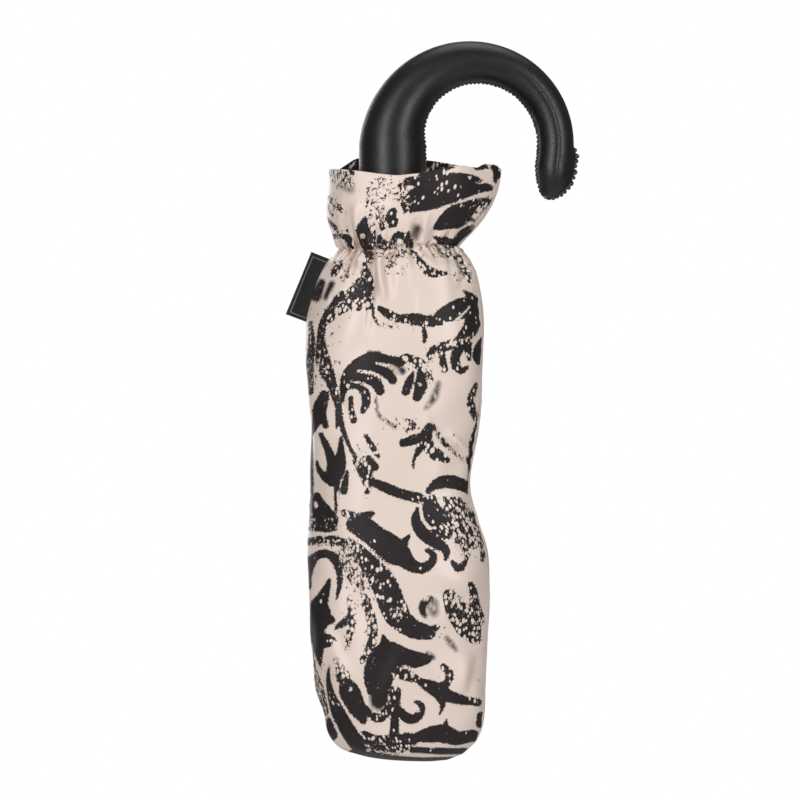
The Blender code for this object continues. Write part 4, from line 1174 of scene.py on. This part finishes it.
def gathered(angle, from_neck, cells, height, reach, rng, sharp=0.65):
    """Gathers that start at the neck and fade with distance, each over its own length."""
    ridge, cell = pleats(angle, cells, rng, sharp)
    heights = (height * rng.uniform(0.35, 1.25, cells))[cell]
    up = (reach[0] * rng.uniform(0.4, 1.7, cells))[cell]
    down = (reach[1] * rng.uniform(0.4, 1.9, cells))[cell]
    length = np.where(from_neck > 0, up, down)
    fade = np.exp(-((np.abs(from_neck) / length) ** 1.25))
    return heights * (ridge - 0.5) * fade


def sleeve_shape():
    """Points of the sleeve in millimetres, its columns' angles and its rows' lengths."""
    left, right, depth = sleeve_rows()
    angle = column_angles()
    centre, reach = (left + right) / 2, (right - left) / 2
    wide, deep = rounded(np.cos(angle)), rounded(np.sin(angle))
    points = np.zeros((len(depth), SLEEVE_COLUMNS, 3))
    points[..., 0] = centre[:, 0:1] + reach[:, 0:1] * wide
    points[..., 2] = centre[:, 1:2] + reach[:, 1:2] * wide
    points[..., 1] = depth[:, None] * deep
    rise = np.clip((np.arange(len(depth)) - BODY_ROWS) / CUFF_ROWS, 0, 1)[:, None]
    points[..., 2] += (rim_height(angle) - points[-1, :, 2])[None, :] * rise**1.4
    side = np.linalg.norm(np.diff(left, axis=0), axis=1)
    front = np.linalg.norm(np.diff(points[:, SLEEVE_COLUMNS * 3 // 4], axis=0), axis=1)
    along = np.concatenate([[0.0], np.cumsum((side + front) / 2)])
    return points, angle, along


def fold_sleeve(points, angle, along):
    """Gathers at the neck, a few long folds, soft dents in the body and a waving rim, and how much painted
    shade falls in each crease.
    """
    rng = np.random.default_rng(11)
    around = angle[None, :]
    neck_row = BODY_ROWS - 1
    from_neck = (along - along[neck_row])[:, None]
    wander = 0.9 * np.sin(3 * around + 0.6) + 0.6 * np.sin(7 * around + 2.0) + 0.5 * np.sin(17 * around)
    from_neck = from_neck + wander * np.exp(-np.abs(from_neck) / 14)
    normals = surface_normals(points)
    offset = gathered(around, from_neck, 112, 0.9, (1.7, 2.1), rng, 0.7)
    offset += gathered(around, from_neck, 56, 1.9, (3.2, 4.2), rng, 0.5)
    offset += gathered(around, from_neck, 25, 2.0, (7.0, 8.5), rng, 0.6)
    offset += gathered(around, from_neck, 8, 1.3, (18.0, 22.0), rng, 1.0)
    offset -= 1.5 * np.exp(-((from_neck / 0.9) ** 2))
    crumple = wave_field(around, along[:, None], rng, 16, (10, 34), (6, 16))
    offset += 0.26 * crumple * np.exp(-((from_neck / 7.0) ** 2))
    rise = np.clip(from_neck / (along[-1] - along[neck_row]), 0, 1)
    ruffle = np.sin(3 * around + 0.9) + 0.7 * np.sin(5 * around + 2.1) + 0.4 * np.sin(9 * around + 4.0)
    offset += 0.9 * rise**1.3 * ruffle
    body = np.clip((along[:, None] - 12) / 40, 0, 1) * (1 - np.clip((from_neck + 25) / 25, 0, 1))
    offset += 0.65 * body * wave_field(around, along[:, None], rng, 10, (2, 5), (50, 140))
    offset += 0.30 * body * wave_field(around, along[:, None], rng, 14, (5, 12), (22, 60))
    # Painted shade: the hollows of the folds near the neck, and the gather line itself, are marked to be
    # painted darker
    hollow = offset - sum(np.roll(offset, k, axis=1) for k in range(-5, 6)) / 11.0
    crease_shade = np.clip(-hollow / 0.45, 0, 1) * np.exp(-((from_neck / 10.0) ** 2))
    crease_shade = np.maximum(crease_shade, 0.7 * np.exp(-((from_neck / 0.8) ** 2)))
    return points + normals * offset[..., None], crease_shade


def press_folds(points, angle):
    """The folds and creases that the photograph shows on the front."""
    normals = surface_normals(points)
    seen = np.clip(-np.sin(angle) * 3, 0, 1)[None, :]
    x, z = points[..., 0], points[..., 2]
    offset = np.zeros(x.shape)
    for line, height, width in FRONT_FOLDS:
        path = smooth_line(line, 14)
        here = np.zeros(x.shape)
        for k in range(len(path) - 1):
            taper = math.sin(math.pi * (k + 1) / len(path)) ** 0.6
            gap = stroke_distance(x, z, [(*path[k], *path[k + 1], 0.0, 0.0)])
            here = np.maximum(here, taper * np.exp(-((gap / width) ** 2)))
        offset += FOLD_DEPTH * height * here * seen
    return points + normals * offset[..., None]


def side_seams(points, angle, along):
    """The two sewn sides: a narrow valley with small puckers along it."""
    normals = surface_normals(points)
    offset = np.zeros(points.shape[:2])
    for seam in (SEAM_TURN, SEAM_TURN + math.pi):
        off = np.abs((angle - seam + math.pi) % TAU - math.pi)[None, :] * 34.0
        beat = np.sin(TAU * along / 6.5 + 1.5 * np.sin(along / 9.0))[:, None]
        offset -= 0.5 * np.exp(-((off / 0.8) ** 2))
        offset += 0.22 * beat * np.exp(-((off / 4.0) ** 2))
    return points + normals * offset[..., None]


def corner_values(fields):
    """Values at the corners of each face of a panel's grid, in the order that grid_faces uses."""
    stack = np.stack(fields, axis=-1)
    return np.stack([stack[:-1, :-1], stack[:-1, 1:], stack[1:, 1:], stack[1:, :-1]], axis=2)


def add_corners(obj, name, values, spare):
    """Store corner values in face order, with the first one for the spare corners at the end."""
    flat = values.reshape(-1, values.shape[-1])
    flat = np.vstack([flat, np.repeat(flat[:1], spare, axis=0)])
    attribute = obj.data.attributes.new(name, "FLOAT_VECTOR", "CORNER")
    attribute.data.foreach_set("vector", flat.astype(np.float32).ravel())


def as_seen(points):
    """Where points are seen to be by an eye in front of the umbrella, on the plane of its axis."""
    nearer = EYE_DISTANCE / (EYE_DISTANCE + points[..., 1])
    x = EYE_X + (points[..., 0] - EYE_X) * nearer
    z = CAMERA_Z / MM + (points[..., 2] - CAMERA_Z / MM) * nearer
    return x, z


def back_print(points, arc_share, along):
    """The back's print: the front's turned end for end, and what shows inside the cuff."""
    turned_x = BACK_WIDTH * (0.5 - arc_share) + BACK_MIDDLE
    drawn = print_fields(turned_x, BACK_TURN_Z - along)
    x, z = as_seen(points)
    inside = z > INSIDE_FOOT
    cleared = blank_fields(x)
    draw_marks(x, z, cleared[:3], INSIDE_MARKS)
    return [np.where(inside, new, old) for new, old in zip(cleared, drawn)]


def print_sleeve(obj, points, along, crease_shade):
    """Lay the print and the painted crease shade on both panels, the front one as it is seen from the
    front.
    """
    half = SLEEVE_COLUMNS // 2
    arc = section_arc()
    points = np.concatenate([points, points[:, :1]], axis=1)
    crease_shade = np.concatenate([crease_shade, crease_shade[:, :1]], axis=1)
    panels = []
    for first, layer in ((0, BACK_LAYER), (half, 0.0)):
        part = points[:, first : first + half + 1]
        across = arc[first : first + half + 1] - arc[first]
        grid_s, grid_t = np.meshgrid(across, along)
        if first:
            drawn = print_fields(*as_seen(part))
        else:
            drawn = back_print(part, grid_s / across[-1], grid_t)
        cloth = corner_values([grid_s, grid_t, np.full(grid_s.shape, layer)])
        ink = corner_values(drawn[:3])
        # Painted shade for the creases goes in the second and third parts of the specks attribute
        folded = crease_shade[:, first : first + half + 1]
        speck = corner_values([drawn[3], folded, folded])
        panels.append((cloth, ink, speck))
    for name, values in zip(("cloth", "print", "specks"), zip(*panels)):
        add_corners(obj, name, np.concatenate(values, axis=1), SLEEVE_COLUMNS)


def build_sleeve(material):
    """The printed sleeve. Returns its points, in millimetres."""
    smooth, angle, along = sleeve_shape()
    points, crease_shade = fold_sleeve(smooth, angle, along)
    points = press_folds(points, angle)
    points = side_seams(points, angle, along)
    faces = grid_faces(len(along), SLEEVE_COLUMNS).tolist() + [list(range(SLEEVE_COLUMNS))[::-1]]
    obj = make_mesh("sleeve_satin", points * MM, faces)
    print_sleeve(obj, smooth, along, crease_shade)
    obj.data.materials.append(material)
    thicken(obj, CLOTH_THICKNESS)
    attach(obj, "sleeve")
    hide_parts("sleeve")
    return points


def build_label(material, seam):
    """A woven tape folded in two, its ends caught in the side seam."""
    v = np.linspace(0.0, 1.0, 44)
    z = np.interp(v, [0.0, 1.0], LABEL_SEAM_Z)
    order = np.argsort(seam[:, 2])
    inner = np.stack([np.interp(z, seam[order, 2], seam[order, k]) for k in range(3)], axis=1)
    inner[:, 0] += 0.25
    top, foot = np.array(LABEL_FOLD)
    outer = np.zeros_like(inner)
    outer[:, 0] = top[0] + (foot[0] - top[0]) * v
    outer[:, 1] = inner[:, 1] - 2.2 + 0.7 * np.sin(math.pi * v)
    outer[:, 2] = top[1] + (foot[1] - top[1]) * v
    columns = []
    for layer in (-1, 1):
        shares = np.linspace(0.0, 1.0, 16)[:: -layer]
        for share in shares:
            bulge = math.sin(math.pi * min(share * 1.6, 0.5))
            gap = LABEL_GAP * bulge * math.sqrt(max(1 - share**8, 0.0))
            point = inner + (outer - inner) * share
            point = point + np.array([0.0, layer * gap + 0.8 * math.sin(math.pi * share), 0.0])
            columns.append(point)
    grid = np.stack(columns, axis=1)
    obj = open_mesh("label_patch", grid * MM)
    across = np.linspace(-LABEL_WIDTH, LABEL_WIDTH, grid.shape[1])
    grid_a, grid_b = np.meshgrid(across, (v - 0.5) * LABEL_LENGTH)
    add_vectors(obj, "cloth", np.stack([grid_a, grid_b, np.zeros_like(grid_a)], axis=-1))
    obj.data.materials.append(material)
    thicken(obj, 0.2)
    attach(obj, "sleeve")
    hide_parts("sleeve_label")


def build_elastic(material):
    """A knitted elastic band inside the neck, drawn up by the gathers."""
    points, angle, _ = sleeve_shape()
    neck_row = BODY_ROWS - 1
    middle = points[neck_row].mean(axis=0)
    rows = []
    for k in np.linspace(-1.0, 1.0, 13):
        ring = points[neck_row].copy()
        out = ring[:, :2] - middle[:2]
        length = np.linalg.norm(out, axis=1)
        waves = 0.3 * np.sin(46 * angle) + 0.2 * np.sin(29 * angle + 1.0)
        ring[:, :2] = middle[:2] + out * ((length - ELASTIC_INSET + waves) / length)[:, None]
        ring[:, 2] += k * ELASTIC_WIDTH / 2 + 0.25 * np.sin(19 * angle)
        rows.append(ring)
    grid = np.stack(rows)
    obj = make_mesh("elastic_band", grid * MM, grid_faces(len(rows), SLEEVE_COLUMNS))
    round_length = np.linalg.norm(np.diff(grid[0], axis=0, append=grid[0][:1]), axis=1).cumsum()
    grid_a, grid_b = np.meshgrid(round_length, np.linspace(0, ELASTIC_WIDTH, len(rows)))
    add_vectors(obj, "cloth", np.stack([grid_a, grid_b, np.zeros_like(grid_a)], axis=-1))
    obj.data.materials.append(material)
    thicken(obj, 0.6)
    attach(obj, "sleeve")
    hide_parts("sleeve_elastic")


# ---------------------------------------------------------------- canopy and shaft


def canopy_profile():
    """Radius and height of the furled canopy from the end cap up, in millimetres."""
    return smooth_line(CANOPY_LINE, CANOPY_ROWS)


def pleated(angle, height):
    """How far in the cloth lies: each of eight pleats laps over the next with a rounded lip."""
    twist = PLEAT_TWIST * height / 220.0 + 0.10 * np.sin(height / 31.0)
    phase = PLEAT_COUNT * (angle + twist) / TAU + 0.12 * np.sin(3 * angle + height / 40.0)
    share = phase % 1.0
    climb = (1.0 - share / PLEAT_LIP) ** 1.4
    lip = (share - PLEAT_LIP) / (1.0 - PLEAT_LIP)
    return np.where(share < PLEAT_LIP, np.maximum(climb, 0.0), ease(lip))


def build_canopy(material):
    """The furled canopy. Only its outer layer is modelled: the folds inside it are left out."""
    line = canopy_profile()
    angle = TAU * np.arange(CANOPY_COLUMNS) / CANOPY_COLUMNS
    radius, height = line[:, 0:1], line[:, 1:2]
    rng = np.random.default_rng(23)
    depth = PLEAT_DEPTH * np.clip((radius - 8.0) / 6.0, 0.0, 1.0)
    wrinkle = 0.22 * wave_field(angle[None, :], height, rng, 12, (3, 14), (14, 60))
    wrinkle = wrinkle * np.clip((radius - 8.0) / 6.0, 0.0, 1.0)
    reach = radius - depth * pleated(angle[None, :], height) - np.abs(wrinkle)
    hem = np.clip((height - 216.0) / 10.0, 0.0, 1.0) * 2.4 * np.sin(4 * angle + 0.4)[None, :] ** 2
    grid = np.stack(
        [reach * np.cos(angle), reach * np.sin(angle), np.broadcast_to(height - hem, reach.shape)], axis=-1
    )
    obj = make_mesh("canopy_cloth", grid * MM, grid_faces(len(line), CANOPY_COLUMNS))
    arc = section_arc()[SLEEVE_COLUMNS // 2]
    panel = np.floor(PLEAT_COUNT * angle / TAU) * 5.0
    s = (angle / TAU * CANOPY_AROUND + panel) % (2 * arc)
    s = np.minimum(s, 2 * arc - s)
    grid_s, grid_t = np.meshgrid(s, line[:, 1] + 8.0)
    drawn = print_fields(BACK_WIDTH * (grid_s / arc - 0.5) + BACK_MIDDLE, grid_t)
    add_vectors(obj, "cloth", np.stack([grid_s, grid_t, np.full(grid_s.shape, 80.0)], axis=-1))
    add_vectors(obj, "print", np.stack(drawn[:3], axis=-1))
    add_vectors(obj, "specks", np.stack([drawn[3], 0 * grid_s, 0 * grid_s], axis=-1))
    obj.data.materials.append(material)
    thicken(obj, 0.25)
    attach(obj, "upper_shaft")
    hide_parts("canopy")


def build_strap(material):
    """The tie strap, wrapped once round the canopy, its end lapping under the snap."""
    around = np.linspace(0.0, 1.0, 280)
    angle = STRAP_START + (TAU + STRAP_LAP) * around
    lap = ease((around - 0.80) / 0.12)
    reach = STRAP_INNER + 0.05 * np.sin(5 * angle) + STRAP_STEP * lap
    end = np.clip((1.0 - around) * 22.0, 0.0, 1.0)
    half = STRAP_WIDTH / 2 * np.sqrt(np.clip(1 - (1 - end) ** 2, 0.02, 1.0))
    v = np.linspace(-1.0, 1.0, 9)[:, None]
    middle = (STRAP_LOW.z + STRAP_HIGH.z) / 2 / MM
    height = middle + v * half[None, :] + 0.15 * np.sin(2 * angle)[None, :]
    reach = reach[None, :] - 0.12 * v**4
    grid = np.stack([reach * np.cos(angle), reach * np.sin(angle), height], axis=-1)
    obj = open_mesh("strap_cloth", grid * MM)
    grid_s = np.broadcast_to(around * 110.0, height.shape)
    drawn = print_fields(np.minimum(grid_s, 95.0), 60.0 + height - middle)
    add_vectors(obj, "cloth", np.stack([grid_s, height, np.full(height.shape, 120.0)], axis=-1))
    add_vectors(obj, "print", np.stack(drawn[:3], axis=-1))
    add_vectors(obj, "specks", np.stack([drawn[3]] * 3, axis=-1))
    obj.data.materials.append(material)
    thicken(obj, 0.35)
    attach(obj, "upper_shaft")
    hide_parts("tie_strap")


def stand_in(obj, material, body, node):
    obj.data.materials.append(material)
    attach(obj, body)
    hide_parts(node)
    return obj


def face_front(obj, y, z):
    """Turn a piece that was made about Z to stand out along -Y from (0, y, z)."""
    for vertex in obj.data.vertices:
        a, b, c = vertex.co
        vertex.co = (a, y - c, z + b)


def build_tubes(steel):
    lips = 0.1
    for node, body, radius, low, high in TUBES:
        inner = radius - TUBE_WALL
        ring = low + 6.0
        profile = [
            (inner, low + lips), (inner + lips, low), (radius - lips, low), (radius, low + lips),
            (radius, ring), (radius - 0.15, ring + 0.4), (radius - 0.15, ring + 1.2),
            (radius, ring + 1.6),
            (radius, high - lips), (radius - lips, high), (inner + lips, high), (inner, high - lips),
        ]
        stand_in(lathe(node + "_turned", profile), steel, body, node)


def build_fittings(steel, plastic):
    cup = lathe("collar_turned", COLLAR_PROFILE)
    stand_in(cup, steel, "handle", "handle_collar")
    cap = lathe("end_cap_turned", CAP_PROFILE)
    stand_in(cap, plastic, "upper_shaft", "end_cap")
    button = lathe("button_turned", BUTTON_PROFILE, 64)
    face_front(button, BUTTON_HIGH.y, BUTTON_MIDDLE_Z)
    stand_in(button, plastic, "button", "push_button")
    snap = lathe("snap_turned", SNAP_PROFILE, 64)
    face_front(snap, SNAP_HIGH.y, (SNAP_LOW.z + SNAP_HIGH.z) / 2)
    stand_in(snap, steel, "upper_shaft", "strap_snap")


def build_spring(steel):
    """The button's coil spring, built at one length; the real spring shortens as the button goes in."""
    turn = np.linspace(0.0, SPRING_TURNS * TAU, SPRING_TURNS * 40 + 1)
    coil = SPRING_RADIUS * MM
    out = np.linspace(SPRING_HIGH.y - SPRING_WIRE * MM, SPRING_LOW.y + SPRING_WIRE * MM, len(turn))
    points = np.stack([coil * np.cos(turn), out, BUTTON_MIDDLE_Z + coil * np.sin(turn)], axis=1)
    obj = join_tubes("spring_coil", [tube_between(points, SPRING_WIRE * MM, 8)])
    stand_in(obj, steel, "handle", "button_spring")
    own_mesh(obj)


# ---------------------------------------------------------------- stage


def build_stage():
    bpy.ops.mesh.primitive_plane_add(size=FLOOR_SIZE, location=(0, 0, FLOOR_Z))
    floor = bpy.context.object
    floor.name = "floor"
    n = Nodes("floor_paint")
    tone = n.mix(n.noise(n.object_vector(), 1.5, 2.0), rgb((0.88, 0.88, 0.88)), rgb((0.92, 0.92, 0.92)))
    paths = n.add("LightPath")
    shown = n.math("MULTIPLY", paths.outputs["Is Camera Ray"], FLOOR_GLOW)
    n.set(Base_Color=tone, Roughness=0.9, Emission_Color=(1.0, 1.0, 1.0, 1.0), Emission_Strength=shown)
    floor.data.materials.append(n.material)


def build_world():
    """A white surround to look at, which lights the object much less than it shows."""
    world = bpy.data.worlds.new("studio")
    bpy.context.scene.world = world
    world.use_nodes = True
    tree = world.node_tree
    seen = tree.nodes["Background"]
    seen.inputs["Color"].default_value = (1.0, 1.0, 1.0, 1.0)
    seen.inputs["Strength"].default_value = 1.0
    glow = tree.nodes.new("ShaderNodeBackground")
    glow.inputs["Color"].default_value = (1.0, 1.0, 1.0, 1.0)
    glow.inputs["Strength"].default_value = WORLD_LIGHT
    paths = tree.nodes.new("ShaderNodeLightPath")
    mix = tree.nodes.new("ShaderNodeMixShader")
    tree.links.new(paths.outputs["Is Camera Ray"], mix.inputs["Fac"])
    tree.links.new(glow.outputs[0], mix.inputs[1])
    tree.links.new(seen.outputs[0], mix.inputs[2])
    tree.links.new(mix.outputs[0], tree.nodes["World Output"].inputs["Surface"])
    bpy.context.scene.view_settings.view_transform = "Standard"


def area_light(name, location, target, size, power):
    data = bpy.data.lights.new(name, "AREA")
    data.shape = "RECTANGLE"
    data.size, data.size_y = size
    data.energy = power
    obj = bpy.data.objects.new(name, data)
    obj.location = location
    obj.rotation_euler = (Vector(target) - Vector(location)).to_track_quat("-Z", "Y").to_euler()
    bpy.context.scene.collection.objects.link(obj)
    return obj


def build_lights():
    area_light("key", (-0.72, -1.18, 0.50), LIGHTS_AIM, (0.42, 1.0), 10.9)
    area_light("fill", (0.84, -1.02, 0.45), LIGHTS_AIM, (0.18, 1.0), 8.0)
    area_light("top", (0.1, 0.15, 1.3), LIGHTS_AIM, (0.8, 0.8), 4.0)
    area_light("back", (-0.45, 1.3, 0.45), LIGHTS_AIM, (1.0, 1.0), 8.0)


def build_camera():
    data = bpy.data.cameras.new("camera")
    data.lens = LENS
    data.sensor_width = SENSOR_WIDTH
    camera = bpy.data.objects.new("camera", data)
    distance = FRAME_WIDTH * LENS / SENSOR_WIDTH
    camera.location = (EYE_X * MM, -distance, CAMERA_Z)
    camera.rotation_euler = (math.radians(90), 0.0, 0.0)
    bpy.context.scene.collection.objects.link(camera)
    bpy.context.scene.camera = camera


def paint_cad(materials):
    """Give the CAD pieces that still show the finish of their slot."""
    slots = {s["node"]: s["material_slot"] for s in frame["record"]["subparts"]}
    for name, obj in frame["nodes"].items():
        if obj.hide_render:
            continue
        obj.data.materials.clear()
        obj.data.materials.append(materials[slots[name]])


def main():
    satin = printed_cloth("printed_satin")
    materials = {
        "black_leather": leather_material(),
        "black_plastic": plastic_material(),
        "plated_steel": steel_material("plated_steel", (0.62, 0.62, 0.63), 0.22),
        "black_steel": steel_material("black_steel", (0.08, 0.08, 0.085), 0.36),
        "printed_satin": satin,
        "canopy_cloth": satin,
        "elastic_webbing": elastic_material(),
        "woven_label": label_material(),
    }
    build_crook(materials["black_leather"], thread_material())
    sleeve = build_sleeve(satin)
    build_label(materials["woven_label"], sleeve[:, SLEEVE_COLUMNS // 2])
    build_elastic(materials["elastic_webbing"])
    build_canopy(satin)
    build_strap(satin)
    build_tubes(materials["plated_steel"])
    build_fittings(materials["plated_steel"], materials["black_plastic"])
    build_spring(materials["plated_steel"])
    paint_cad(materials)
    build_stage()
    build_world()
    build_lights()
    build_camera()


main()
